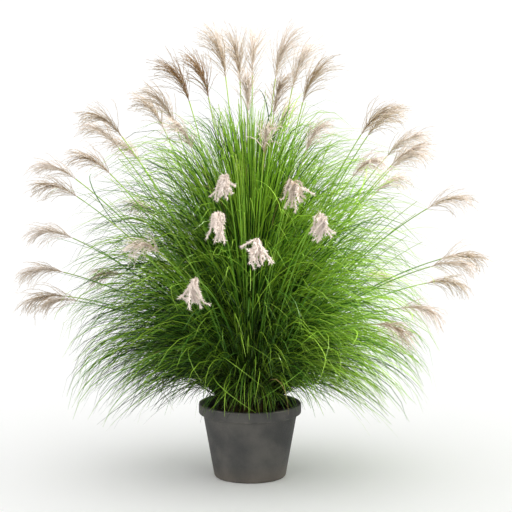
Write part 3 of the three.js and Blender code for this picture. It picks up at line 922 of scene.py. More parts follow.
def rounded(profile: Sequence[tuple[float, float]], radius: float, steps: int = 4) -> list[tuple[float, float]]:
    """Rounds every corner of a profile between its ends.

    Args:
        profile: Points of (radius, height).
        radius: How far from a corner the rounding starts, at most.
        steps: How many spans each rounding gets.

    Returns:
        The profile with more points.
    """
    points = [np.array(point, float) for point in profile]
    result = [points[0]]
    for before, corner, after in zip(points, points[1:], points[2:]):
        back, ahead = before - corner, after - corner
        room = min(radius, 0.45 * np.linalg.norm(back), 0.45 * np.linalg.norm(ahead))
        start, end = corner + unit(back) * room, corner + unit(ahead) * room
        for step in range(steps + 1):
            t = step / steps
            result.append((1 - t) ** 2 * start + 2 * t * (1 - t) * corner + t * t * end)
    result.append(points[-1])
    return [(float(point[0]), float(point[1])) for point in result]


@dataclass
class Pot:
    """The round tapered pot with its rim band and four drain holes."""

    top_radius: float = 0.163
    base_radius: float = 0.12
    wall: float = 0.009
    floor: float = 0.014
    foot_chamfer: float = 0.005
    rim_height: float = 0.034
    rim_overhang: float = 0.008
    drain_radius: float = 0.008
    drain_circle: float = 0.062
    drains: int = 4
    drill_room: float = 0.01
    drill_sides: int = 24
    edge_radius: float = 0.005
    wear_width: float = 0.006
    sides: int = 160

    def profile(self) -> list[tuple[float, float]]:
        """Works out the outline of the pot's wall.

        Returns:
            Points of (radius, height), from the middle of the foot round to the inside.
        """
        rim = self.top_radius + self.rim_overhang
        below_rim = POT_HEIGHT - self.rim_height
        slope = (self.top_radius - self.base_radius) / POT_HEIGHT
        at_rim = self.base_radius + slope * below_rim
        corners = [
            (0.0, 0.0),
            (self.base_radius - self.foot_chamfer, 0.0),
            (self.base_radius, self.foot_chamfer),
            (at_rim, below_rim),
            (rim, below_rim),
            (rim, POT_HEIGHT),
            (self.top_radius - self.wall, POT_HEIGHT),
            (self.base_radius - self.wall, self.floor),
            (0.0, self.floor),
        ]
        return rounded(corners, self.edge_radius)

    def build(self, finish: PotFinish) -> None:
        """Turns the wall, drills the drain holes and dresses the pot.

        Args:
            finish: What it is finished with.
        """
        piece = turned_solid("charcoal_pot", self.profile(), self.sides)
        drill = self.drill()
        cut = piece.modifiers.new("drain_holes", "BOOLEAN")
        cut.operation, cut.object, cut.solver = "DIFFERENCE", drill, "EXACT"
        evaluated = piece.evaluated_get(bpy.context.evaluated_depsgraph_get())
        bored = bpy.data.meshes.new_from_object(evaluated)
        piece.modifiers.clear()
        piece.data = bored
        bpy.data.objects.remove(drill)
        self.mark_wear(bored)
        dress(piece, finish.material(), ["pot"])

    def drill(self) -> bpy.types.Object:
        """Makes what the drain holes are drilled with.

        Returns:
            Upright rods where the holes go.
        """
        places, faces, sides = [], [], self.drill_sides
        for hole in range(self.drains):
            turn = 2 * math.pi * (hole + 0.5) / self.drains
            middle = np.array([math.cos(turn), math.sin(turn), 0]) * self.drain_circle
            rim = middle + ring(sides) * self.drain_radius
            start = len(places)
            places += [*(rim - self.drill_room * UP), *(rim + (self.floor + self.drill_room) * UP)]
            faces.append(tuple(start + i for i in reversed(range(sides))))
            faces.append(tuple(start + sides + i for i in range(sides)))
            for i in range(sides):
                j = (i + 1) % sides
                faces.append((start + i, start + j, start + sides + j, start + sides + i))
        mesh = bpy.data.meshes.new("drill")
        mesh.from_pydata([tuple(map(float, place)) for place in places], [], faces)
        return add_object("drill", mesh)

    def mark_wear(self, mesh: bpy.types.Mesh) -> None:
        """Marks the edges of the rim and the foot, where the clay is rubbed.

        Args:
            mesh: The pot's mesh.
        """
        places = np.zeros(len(mesh.vertices) * 3, np.float32)
        mesh.vertices.foreach_get("co", places)
        places = places.reshape(-1, 3)
        out = np.hypot(places[:, 0], places[:, 1])
        corners = [(self.top_radius + self.rim_overhang, POT_HEIGHT), (self.top_radius - self.wall, POT_HEIGHT)]
        corners += [(self.top_radius + self.rim_overhang, POT_HEIGHT - self.rim_height), (self.base_radius, 0.0)]
        nearest = np.min([np.hypot(out - radius, places[:, 2] - height) for radius, height in corners], axis=0)
        wear = mesh.attributes.new("wear", "FLOAT", "POINT")
        wear.data.foreach_set("value", np.clip(1 - nearest / self.wear_width, 0, 1).astype(np.float32))


@dataclass
class Compost:
    """The filling of compost, slightly mounded towards the crown, with loose crumbs on it."""

    wall_gap: float = 0.0003
    wall_share: float = 0.985
    edge_drop: float = 0.004
    mound: float = 0.007
    mound_radius: float = 0.07
    mound_steps: tuple[float, ...] = (0.3, 0.6, 1.0)
    mound_roundness: float = 0.7
    middle_share: float = 0.8
    sides: int = 72
    crumb_size: float = 0.0042
    crumb_density: float = 9000.0

    def build(self, pot: Pot, finish: CompostFinish) -> None:
        """Fills the pot.

        Args:
            pot: The pot that it fills.
            finish: What it is finished with.
        """
        slope = (pot.top_radius - pot.base_radius) / (POT_HEIGHT - pot.floor)
        low = pot.floor + self.wall_gap
        base = pot.base_radius - pot.wall - self.wall_gap
        edge = SOIL_TOP - self.edge_drop
        wide = base + slope * (edge - pot.floor) * self.wall_share
        corners = [(0.0, low), (base, low), (wide, edge)]
        for share in self.mound_steps:
            height = blend(edge, SOIL_TOP + self.mound, share**self.mound_roundness)
            corners.append((blend(wide, self.mound_radius, share), height))
        corners.append((0.0, SOIL_TOP + self.mound * self.middle_share))
        surface = turned_solid("compost_mound", corners, self.sides)
        mesh = surface.data
        bpy.data.objects.remove(surface)
        values = {"Crumb size": self.crumb_size, "Crumbs to a square metre": self.crumb_density}
        piece = CrumbRecipe().grow(mesh, "potting_compost_with_crumbs", values)
        dress(piece, finish.material(), ["soil"])


@dataclass(frozen=True)
class LeafLayer:
    """Leaves of one layer of the clump.

    Their tips lie between two angles from upright, in degrees, and between two shares of the way to the dome.
    """

    count: int
    tip_angles: tuple[float, float]
    reach: tuple[float, float]
    extra_lean: tuple[float, float]
    half_width: tuple[float, float]
    curl: float
    steps: int = 9


class Layer(Enum):
    """The layers that a tuft's leaves grow in."""

    OUTER = LeafLayer(660, (4, 92), (0.66, 1.05), (58, 98), (0.0013, 0.0021), 0.07)
    STRAY = LeafLayer(90, (10, 88), (1.00, 1.13), (66, 104), (0.0012, 0.0017), 0.10)
    INNER = LeafLayer(400, (8, 88), (0.45, 0.84), (46, 92), (0.0013, 0.0021), 0.10, 7)
    HEART = LeafLayer(230, (0, 36), (0.45, 1.07), (14, 60), (0.0012, 0.0019), 0.09, 8)
    TANGLE = LeafLayer(170, (20, 80), (0.45, 0.84), (80, 118), (0.0010, 0.0016), 0.36, 11)
    SKIRT = LeafLayer(46, (90, 99), (0.60, 0.92), (38, 66), (0.0011, 0.0018), 0.2)


@dataclass
class Crown:
    """Where the leaves rise from and how far they reach. Bearings go round the plant, angles from upright."""

    dome_side: float = 0.57
    dome_rise: float = 0.43
    dome_roundness: float = 2.0
    root_radii: tuple[float, float] = (0.008, 0.078)
    rim_radius: float = 0.171
    rim_room: float = 0.008
    ground_room: float = 0.012
    compost_room: float = 0.2
    rim_mouth: tuple[float, float] = (0.085, 0.14)
    opening: float = 0.4
    open_bend: float = 0.6
    open_share: float = 0.5
    open_angles: tuple[float, float] = (34, 26)
    before_pot: tuple[float, float] = (0.1, 0.25)
    before_pot_angles: tuple[float, float] = (76, 8)
    front_depths: tuple[float, float] = (0.15, 0.42)
    lowest_tip: float = 0.17
    free_girth: float = 0.58
    last_girth: float = 0.11
    crest_reach: float = 0.98
    crest_angle: float = math.radians(38)

    def dome(self, angle: Array) -> Array:
        """Returns how far from the crown the leaf tips are, at each angle."""
        return self.dome_side + self.dome_rise * np.maximum(0, np.cos(angle)) ** self.dome_roundness

    def is_open(self, bearing: Array, angle: Array, chance: Array) -> Array:
        """Picks out most of the low leaves at the front, where the clump is open and shows its shoots.

        Args:
            bearing: Where each leaf goes.
            angle: The angle of its tip.
            chance: A number from 0 to 1 for each leaf.

        Returns:
            Whether each leaf is left out.
        """
        ahead, angle = -np.sin(bearing), np.degrees(angle)
        forward = risen(ahead, self.opening, 1 - self.opening) ** self.open_bend
        before_pot = risen(ahead, *self.before_pot) * risen(angle, *self.before_pot_angles)
        return chance < np.maximum(self.open_share * forward * risen(angle, *self.open_angles), before_pot)

    def held_back(self, reach: Array, bearing: Array, angle: Array, chance: Array) -> Array:
        """Shortens the leaves that would come out far at the front, before the hanging plumes.

        Args:
            reach: How far each leaf's tip is from the crown.
            bearing: Where it goes.
            angle: The angle of its tip.
            chance: A number from 0 to 1 for each leaf.

        Returns:
            How far each tip is from the crown then.
        """
        ahead = reach * np.sin(angle) * -np.sin(bearing)
        most = blend(*self.front_depths, chance)
        return reach * np.where(ahead > most, most / np.maximum(ahead, NEAR_AXIS), 1.0)

    def within_girth(self, points: Array) -> Array:
        """Draws in those points of leaves, as (leaf, point, 3), that would spread wider than the plant.

        Args:
            points: The points.

        Returns:
            The points, the furthest of them nearer to the axis.
        """
        out = np.hypot(points[..., 0], points[..., 1])
        past = np.maximum(0.0, out - self.free_girth)
        least = self.free_girth + self.last_girth * (1 - np.exp(-past / self.last_girth))
        share = np.where(past > 0, least / np.maximum(out, NEAR_AXIS), 1.0)
        return points * np.stack([share, share, np.ones_like(share)], axis=-1)

    def above_rim(self, points: Array, room: Array) -> Array:
        """Lifts those points of leaves that would pass through the pot's rim or the compost.

        Args:
            points: The points, as (leaf, point, 3).
            room: How far above the rim each leaf passes, at least.

        Returns:
            The points, lifted where they had to be.
        """
        out = np.hypot(points[..., 0], points[..., 1])
        edge = self.rim_radius + self.rim_room
        over_rim = np.interp(out, [*self.rim_mouth, edge, edge + 0.001], [0, 1, 1, 0])
        above = blend(self.compost_room, POT_HEIGHT + self.rim_room + room, over_rim)
        lifted = points.copy()
        lifted[..., 2] = np.maximum(points[..., 2], np.where(out < edge, above, self.ground_room))
        return lifted


@dataclass
class FlowerStem:
    """One flowering stem: where its head begins from the crown, in metres, and how heavily the head hangs."""

    number: int
    right: float
    back: float
    up: float
    hang: float
    tone: float
    root_height: float = 0.12
    root_radius: float = 0.022
    root_spread: float = 0.038
    half_width: float = 0.0027
    reaches: tuple[float, float] = (0.4, 0.28)
    lean_range: tuple[float, float] = (math.radians(2), math.radians(82))
    lean_gain: float = 1.4
    hang_gain: float = 0.1
    droop_range: tuple[float, float] = (math.radians(38), math.radians(64))
    droop_gain: float = 1.2
    hang_angles: tuple[float, float] = (60, 90)

    @property
    def azimuth(self) -> float:
        """The bearing of the head round the plant."""
        return math.atan2(self.back, self.right)

    @property
    def tuft(self) -> int:
        """The tuft that the stem grows in, from 0."""
        return round(self.azimuth / (2 * TUFT_HALF_ANGLE)) % TUFTS

    @property
    def lean(self) -> float:
        """How far from upright the head lies from the crown."""
        return math.atan2(math.hypot(self.right, self.back), self.up)

    @property
    def start_lean(self) -> float:
        """How far the stem leans where the head begins."""
        least, most = self.lean_range
        return min((least + self.lean_gain * self.lean) * (1 + self.hang_gain * (self.hang - 1)), most)

    @property
    def droop(self) -> float:
        """How far the head bends over."""
        least, most = self.droop_range
        return min(least + self.droop_gain * self.lean, most) * (0.5 + 0.5 * self.hang)

    @property
    def start(self) -> Array:
        """The way that the stem points where the head begins."""
        return math.sin(self.start_lean) * outwards(np.array(self.azimuth)) + math.cos(self.start_lean) * UP

    @property
    def hang_way(self) -> Array:
        """The way that the head bends towards: away from the plant and down, or straight down for a mop."""
        angle = math.radians(blend(*self.hang_angles, min(max(self.hang - 1, 0), 1)))
        return math.cos(angle) * outwards(np.array(self.azimuth)) - math.sin(angle) * UP

    @property
    def foot(self) -> Array:
        """Where the head begins, kept clear of the next tufts."""
        return self.in_tuft(np.array([[math.hypot(self.right, self.back), self.up]]))[0]

    def in_tuft(self, line: Array) -> Array:
        """Places points of (outwards, up) at the stem's bearing, kept clear of the next tufts.

        Args:
            line: The points, as (point, 2).

        Returns:
            The places, as (point, 3).
        """
        middle = np.array(self.tuft * 2 * TUFT_HALF_ANGLE)
        bearing = math.remainder(self.azimuth - middle, 2 * math.pi)
        inset = CLEARANCE + self.half_width
        out = np.maximum(line[:, 0] * math.cos(bearing), inset / math.sin(TUFT_HALF_ANGLE))
        room = out * math.tan(TUFT_HALF_ANGLE) - inset / math.cos(TUFT_HALF_ANGLE)
        across = np.clip(line[:, 0] * math.sin(bearing), -room, room)
        level = out[:, None] * outwards(middle) + across[:, None] * sideways(middle)
        return level + (SOIL_TOP + line[:, 1])[:, None] * UP

    def path(self, steps: int) -> Array:
        """Works out the stem from the compost to its head.

        Args:
            steps: How many points the arched part gets.

        Returns:
            The points, as (point, 3).
        """
        root = self.root_radius + self.root_spread * self.lean
        start, end = [[root, self.root_height]], [[math.hypot(self.right, self.back), self.up]]
        leans = np.array([self.lean * 0.75]), np.array([self.start_lean])
        line = Arch(np.array(start), np.array(end), *leans, *self.reaches).points(steps)[0]
        foot = np.array([[root * 0.75, -0.01], [root * 0.86, self.root_height * 0.5]])
        return self.in_tuft(np.concatenate([foot, line]))


@dataclass
class Tuft:
    """One of the tufts side by side: its leaves, its flowering stems and the shoots that they rise from."""

    index: int
    crown: Crown
    stems: list[FlowerStem]
    leaves: GuideLines = field(default_factory=GuideLines)
    stalks: GuideLines = field(default_factory=GuideLines)
    seed: int = 300
    keel_depth: float = 0.26
    stem_corners: int = 5
    overlap: float = 1.04
    even_share: float = 0.46
    droops: tuple[float, float] = (1.15, 0.85)
    most_lean: float = math.radians(168)
    lowest_angle: float = math.radians(100)
    root_shares: tuple[float, float] = (0.5, 1.1)
    root_room: float = 0.004
    root_heights: tuple[float, float] = (-0.008, 0.02)
    reach_crowding: float = 1.4
    start_shares: tuple[float, float] = (0.18, 0.36)
    leaf_reaches: tuple[float, float] = (0.5, 0.45)
    curl_delay: float = 1.8
    most_rim_room: float = 0.05
    wave: float = 0.0018
    roll: float = 1.35
    twist: float = 0.6
    leaf_taper: tuple[tuple[float, ...], ...] = ((0, 0.12, 0.45, 0.8, 1), (0.75, 0.9, 1.0, 0.82, 0.2))
    stem_leaf_taper: tuple[tuple[float, ...], ...] = ((0, 0.3, 0.8, 1), (0.8, 1.0, 0.55, 0.1))
    stem_leaf_places: tuple[float, ...] = (0.42, 0.58, 0.74)
    stem_leaf_lengths: tuple[float, float] = (0.2, 0.34)
    stem_leaf_droops: tuple[float, float] = (0.3, 1.3)
    stem_leaf_half_widths: tuple[float, float] = (0.0017, 0.0024)
    stem_leaf_steps: int = 9
    stem_taper: tuple[float, float] = (1.05, 0.62)
    joint_bulge: float = 1.22
    stem_steps: int = 22
    young_stems: int = 32
    young_angles: tuple[float, float] = (2, 46)
    young_reaches: tuple[float, float] = (0.8, 1.08)
    young_half_widths: tuple[float, float] = (0.0023, 0.0009)
    young_steps: int = 14
    shoots: int = 90
    shoot_radii: tuple[float, float] = (0.006, 0.08)
    shoot_depth: float = 0.012
    shoot_heights: tuple[float, float] = (0.14, 0.36)
    shoot_leans: tuple[float, float] = (0.1, 0.36)
    shoot_half_widths: tuple[float, float] = (0.0016, 0.0031)
    shoot_taper: float = 0.35
    shoot_steps: int = 6

    def __post_init__(self) -> None:
        """Sets the tuft's own stream of chance."""
        self.chance = np.random.default_rng(self.seed + self.index)

    @property
    def azimuth(self) -> float:
        """The bearing of the tuft's middle."""
        return self.index * 2 * TUFT_HALF_ANGLE

    def draw(self, low: float, high: float, count: int) -> Array:
        """Draws numbers evenly between a low and a high value."""
        return self.chance.uniform(low, high, count)

    def column(self, low: float, high: float, count: int) -> Array:
        """Draws numbers in the same way, one for each line."""
        return self.draw(low, high, count)[:, None]

    def build(self, recipe: SweepRecipe, leaf: bpy.types.Material, stem: bpy.types.Material) -> None:
        """Grows the tuft's two pieces.

        Args:
            recipe: What sweeps the guide lines.
            leaf: The finish of the leaves.
            stem: The finish of the stems and shoots.
        """
        for layer in Layer:
            self.add_layer(layer.value)
        self.add_stem_leaves()
        self.add_stems()
        self.add_young_stems()
        self.add_shoots()
        for part, guides, corners, depth, skin in (
            ("leaves", self.leaves, BLADE_CORNERS, self.keel_depth, leaf),
            ("stems", self.stalks, self.stem_corners, 1.0, stem),
        ):
            name = f"tuft_{self.index + 1}_{part}"
            values = {"Corners": corners, "Depth": depth, "Finish": skin}
            dress(recipe.grow(guides.mesh(name), name, values), skin, [f"leafy_tuft_{self.index + 1}"])

    def tip_angles(self, layer: LeafLayer) -> Array:
        """Draws where a layer's tips go, some spread evenly over the dome and the others over the angles.

        Args:
            layer: What the leaves are like.

        Returns:
            The angle of each tip from upright.
        """
        low, high = (math.radians(angle) for angle in layer.tip_angles)
        share = self.draw(0, 1, layer.count)
        over_dome = np.arccos(blend(math.cos(low), math.cos(high), share))
        return np.where(self.draw(0, 1, layer.count) < self.even_share, blend(low, high, share), over_dome)

    def leaf_arches(self, layer: LeafLayer, tip_angle: Array, bearing: Array) -> Array:
        """Draws the arches of a layer's leaves.

        Args:
            layer: What the leaves are like.
            tip_angle: The angle of each tip from upright.
            bearing: Where each leaf goes round the plant.

        Returns:
            The points, as (leaf, point, 2).
        """
        crown, count = self.crown, len(tip_angle)
        lowness = np.clip(tip_angle / self.lowest_angle, 0, 1)
        root = blend(*crown.root_radii, lowness) * self.draw(*self.root_shares, count) + self.root_room
        start = np.stack([root, self.draw(*self.root_heights, count)], axis=-1)
        reach = crown.dome(tip_angle) * blend(*layer.reach, 1 - self.draw(0, 1, count) ** self.reach_crowding)
        reach *= blend(crown.crest_reach, 1.0, np.clip(tip_angle / crown.crest_angle, 0, 1))
        reach = crown.held_back(reach, bearing, tip_angle, self.draw(0, 1, count))
        end_lean = tip_angle + np.radians(self.draw(*layer.extra_lean, count)) * blend(*self.droops, lowness)
        leans = tip_angle * self.draw(*self.start_shares, count), np.minimum(end_lean, self.most_lean)
        return Arch(start, leaning(tip_angle) * reach[:, None], *leans, *self.leaf_reaches).points(layer.steps)

    def add_layer(self, layer: LeafLayer) -> None:
        """Adds the leaves of one layer, each waved, curled and turned about itself in its own way.

        Args:
            layer: What the leaves are like.
        """
        tip_angle = self.tip_angles(layer)
        bearing = self.azimuth + self.draw(-1, 1, layer.count) * TUFT_HALF_ANGLE * self.overlap
        grown = ~self.crown.is_open(bearing, tip_angle, self.draw(0, 1, layer.count))
        tip_angle, bearing = tip_angle[grown], bearing[grown]
        count = len(tip_angle)
        line = self.leaf_arches(layer, tip_angle, bearing)
        share = np.linspace(0, 1, layer.steps)[None]
        azimuth = bearing[:, None] + self.chance.normal(0, layer.curl, count)[:, None] * share**self.curl_delay
        wave = self.wave * np.sin(share * self.column(3, 6, count) + self.column(0, 6.3, count))
        level = sideways(azimuth)
        points = self.crown.within_girth(swung(line, azimuth) + level * (wave * share)[..., None])
        points = self.crown.above_rim(points, self.column(0, self.most_rim_room, count))
        turn = self.column(-self.roll, self.roll, count) + self.column(-self.twist, self.twist, count) * share
        along = unit(np.gradient(points, axis=1))
        across = level * np.cos(turn)[..., None] + np.cross(along, level) * np.sin(turn)[..., None]
        half = self.column(*layer.half_width, count) * np.interp(share, *self.leaf_taper)
        tone = self.column(0, 1, count)
        clear = points[..., 2].min(axis=1) > self.crown.lowest_tip
        self.leaves.add(points[clear], across[clear], half[clear], tone=tone[clear])

    def add_stem_leaves(self) -> None:
        """Adds the leaves that grow from the flowering stems."""
        steps, chance = self.stem_leaf_steps, self.chance
        taper = np.interp(np.linspace(0, 1, steps), *self.stem_leaf_taper)[None]
        for stem in self.stems:
            path = stem.path(self.stem_steps)
            for share in self.stem_leaf_places:
                place = round(share * (len(path) - 1) + chance.uniform(-1, 1))
                tangent = unit(path[place + 1] - path[place - 1])
                azimuth = np.array(stem.azimuth + chance.normal(0, 1.0))
                length, out = chance.uniform(*self.stem_leaf_lengths), outwards(azimuth)
                way = unit(tangent + 0.35 * out)
                second = path[place] + way * length * 0.45
                third = second + unit(way + 0.7 * out - 0.15 * UP) * length * 0.35
                last = third + unit(out - chance.uniform(*self.stem_leaf_droops) * UP) * length * 0.3
                curve = bezier([corner[None] for corner in (path[place], second, third, last)], steps)
                tone = np.full((1, steps), chance.uniform(0.3, 1.0))
                half = chance.uniform(*self.stem_leaf_half_widths) * taper
                self.leaves.add(self.crown.within_girth(curve), sideways(azimuth), half, tone=tone)

    def add_stems(self) -> None:
        """Adds the flowering stems, a little thicker at each joint."""
        for stem in self.stems:
            path = stem.path(self.stem_steps)
            half = np.linspace(*(stem.half_width * share for share in self.stem_taper), len(path))
            half[3::5] *= self.joint_bulge
            tone = np.array([[self.chance.uniform(0, 1)]])
            self.stalks.add(path[None], sideways(np.array(stem.azimuth)), half[None], tone=tone)

    def add_young_stems(self) -> None:
        """Adds the young stems, which haven't flowered and end among the leaves."""
        count, steps = self.young_stems, self.young_steps
        angle = np.radians(self.draw(*self.young_angles, count))
        start = np.stack([0.02 + 0.05 * angle, np.full(count, -0.01)], axis=-1)
        end = leaning(angle) * (self.crown.dome(angle) * self.draw(*self.young_reaches, count))[:, None]
        line = Arch(start, end, angle * 0.7, angle * 1.3 + 0.1, 0.4, 0.3).points(steps)
        azimuth = self.azimuth + self.column(-1, 1, count) * TUFT_HALF_ANGLE
        half = np.linspace(*self.young_half_widths, steps)[None] * self.column(0.8, 1.1, count)
        self.stalks.add(swung(line, azimuth), sideways(azimuth), half, tone=self.column(0.3, 1, count))

    def add_shoots(self) -> None:
        """Adds the shoots, tightly rolled sheaths that stand close together in the crown."""
        count, steps = self.shoots, self.shoot_steps
        spread = self.draw(0, 1, count) ** 0.6
        height = self.draw(*self.shoot_heights, count)
        lean = spread * self.draw(*self.shoot_leans, count)
        start = np.stack([blend(*self.shoot_radii, spread), np.full(count, -self.shoot_depth)], axis=-1)
        end = start + leaning(lean) * height[:, None]
        line = Arch(start, end, lean * 0.5, lean * 1.5, 0.35, 0.35).points(steps)
        azimuth = self.azimuth + self.column(-1, 1, count) * TUFT_HALF_ANGLE
        half = self.column(*self.shoot_half_widths, count) * np.linspace(1.0, self.shoot_taper, steps)[None]
        self.stalks.add(swung(line, azimuth), sideways(azimuth), half, tone=self.column(0, 0.7, count))


@dataclass(frozen=True)
class BrushShape:
    """How the branches and hairs of a plume are set out; lengths and widths in metres, angles in radians."""

    axis_length: float
    axis_bend: float
    branches: int
    lengths: tuple[float, float]
    spreads: tuple[float, float]
    bend_delay: float
    bends: tuple[float, float]
    half_width: float
    wobble: float
    hairs: int
    hair_length: float
    hair_width: float
    hair_spread: float
    tone_spread: float


class Brush(Enum):
    """The two shapes of plume: an open fan that nods, and a shaggy mop that hangs."""

    FAN = BrushShape(
        0.1, 0.5, 60, (0.075, 0.12), (0.7, 0.28), 1.5, (0.5, 1.3), 0.0007, 0.08, 22, 0.01, 0.0006, 0.5, 0.13
    )
    MOP = BrushShape(
        0.05, 0.7, 20, (0.048, 0.12), (0.95, 0.42), 0.5, (1.2, 2.4), 0.0029, 0.25, 94, 0.0115, 0.0014, 1.15, 0.05
    )


@dataclass
class Plume:
    """A flower head: a slim axis with a brush of slender branches, each set with silky hairs."""

    stem: FlowerStem
    seed: int = 900
    corners: int = 3
    axis_steps: int = 10
    axis_halves: tuple[float, float] = (0.0015, 0.0006)
    branch_steps: int = 7
    branch_taper: float = 0.45
    top_length: float = 0.8
    crowding: float = 0.85
    turn: float = 2.4
    spread_shares: tuple[float, float] = (0.25, 1.3)
    mop_hang: float = 1.4
    foot_heights: tuple[float, float] = (1.1, 1.3)
    fullness: tuple[float, float] = (0.96, 1.22)

    @property
    def shape(self) -> BrushShape:
        """The shape of the plume."""
        return (Brush.MOP if self.stem.hang > self.mop_hang else Brush.FAN).value

    def build(self, recipe: PlumeRecipe, finish: bpy.types.Material) -> None:
        """Grows the plume.

        Args:
            recipe: What sweeps the branches and sets their hairs.
            finish: The finish of the silk.
        """
        shape, name = self.shape, f"plume_{self.stem.number:02d}"
        hair = {"Hair length": shape.hair_length, "Hair width": shape.hair_width, "Hair spread": shape.hair_spread}
        values = {"Corners": self.corners, "Depth": 1.0, "Hairs": shape.hairs, "Finish": finish, **hair}
        piece = recipe.grow(self.guides().mesh(name), name, values)
        dress(piece, finish, [f"flower_head_{self.stem.number:02d}"])

    def guides(self) -> GuideLines:
        """Sets out the axis and the branches, which leave it all round, the lower ones further apart.

        Returns:
            The lines of the axis and of the branches.
        """
        stem, shape = self.stem, self.shape
        chance = np.random.default_rng(self.seed + stem.number)
        level = sideways(np.array(stem.azimuth))
        bend = np.array([stem.droop * shape.axis_bend])
        axis = self.bent(stem.start[None], stem.hang_way, bend, self.axis_steps, shape.bend_delay)
        spine = self.chained(stem.foot[None], axis, np.full(1, shape.axis_length))
        guides = GuideLines()
        guides.add(spine, level, np.linspace(*self.axis_halves, self.axis_steps)[None], tone=np.array([[stem.tone]]))

        full = np.interp(stem.foot[2], self.foot_heights, self.fullness)
        count = round(shape.branches * full)
        share = (np.arange(count) / (count - 1)) ** self.crowding
        place = share * (self.axis_steps - 1.01)
        low, rest = place.astype(int), (place % 1)[:, None]
        roots = blend(spine[0, low], spine[0, low + 1], rest)
        along = unit(blend(axis[0, low], axis[0, low + 1], rest))
        first = unit(np.cross(along, level))
        turn = (np.arange(count) * self.turn + chance.uniform(0, 6))[:, None]
        radial = first * np.cos(turn) + unit(np.cross(along, first)) * np.sin(turn)
        spread = blend(*shape.spreads, share) * chance.uniform(*self.spread_shares, count)
        start = unit(along + radial * spread[:, None])
        bend = stem.droop * chance.uniform(*shape.bends, count)
        ways = self.bent(start, stem.hang_way, bend, self.branch_steps, shape.bend_delay)
        ways = unit(ways + np.cumsum(chance.normal(0, shape.wobble, ways.shape), axis=1))
        lengths = chance.uniform(*shape.lengths, count) * blend(1.0, self.top_length, share) * full
        half = np.linspace(1.0, self.branch_taper, self.branch_steps)[None] * shape.half_width
        tone = np.clip(stem.tone + chance.normal(0, shape.tone_spread, count), 0, 1)[:, None]
        guides.add(self.chained(roots, ways, lengths), level, half, tone=tone)
        return guides

    @staticmethod
    def bent(start: Array, towards: Array, bend: Array, steps: int, delay: float) -> Array:
        """Bends directions steadily towards another.

        Args:
            start: The first direction of each line, as (line, 3).
            towards: The direction that they bend towards, and not past.
            bend: How far each bends in all.
            steps: How many directions each line gets.
            delay: How late the bend comes: more than 1 for late, less for early.

        Returns:
            The directions, as (line, step, 3).
        """
        most = np.arccos(np.clip(start @ towards, -1, 1))
        square = unit(towards - start * (start @ towards)[:, None])
        share = np.linspace(0, 1, steps)[None] ** delay
        angle = np.minimum(bend[:, None] * share, most[:, None])[..., None]
        return start[:, None] * np.cos(angle) + square[:, None] * np.sin(angle)

    @staticmethod
    def chained(starts: Array, ways: Array, lengths: Array) -> Array:
        """Chains steps into lines.

        Args:
            starts: Where each line starts, as (line, 3).
            ways: The direction of each step.
            lengths: How long each line is.

        Returns:
            The points, as (line, step, 3).
        """
        steps = ways * (lengths / (ways.shape[1] - 1))[:, None, None]
        steps = np.concatenate([np.zeros_like(steps[:, :1]), steps[:, :-1]], axis=1)
        return starts[:, None] + np.cumsum(steps, axis=1)


class Tone(Enum):
    """How ripe the silk of a plume is, from golden brown to nearly white."""

    BROWN = 0.1
    BUFF = 0.5
    BLUSH = 0.66
    CREAM = 0.95


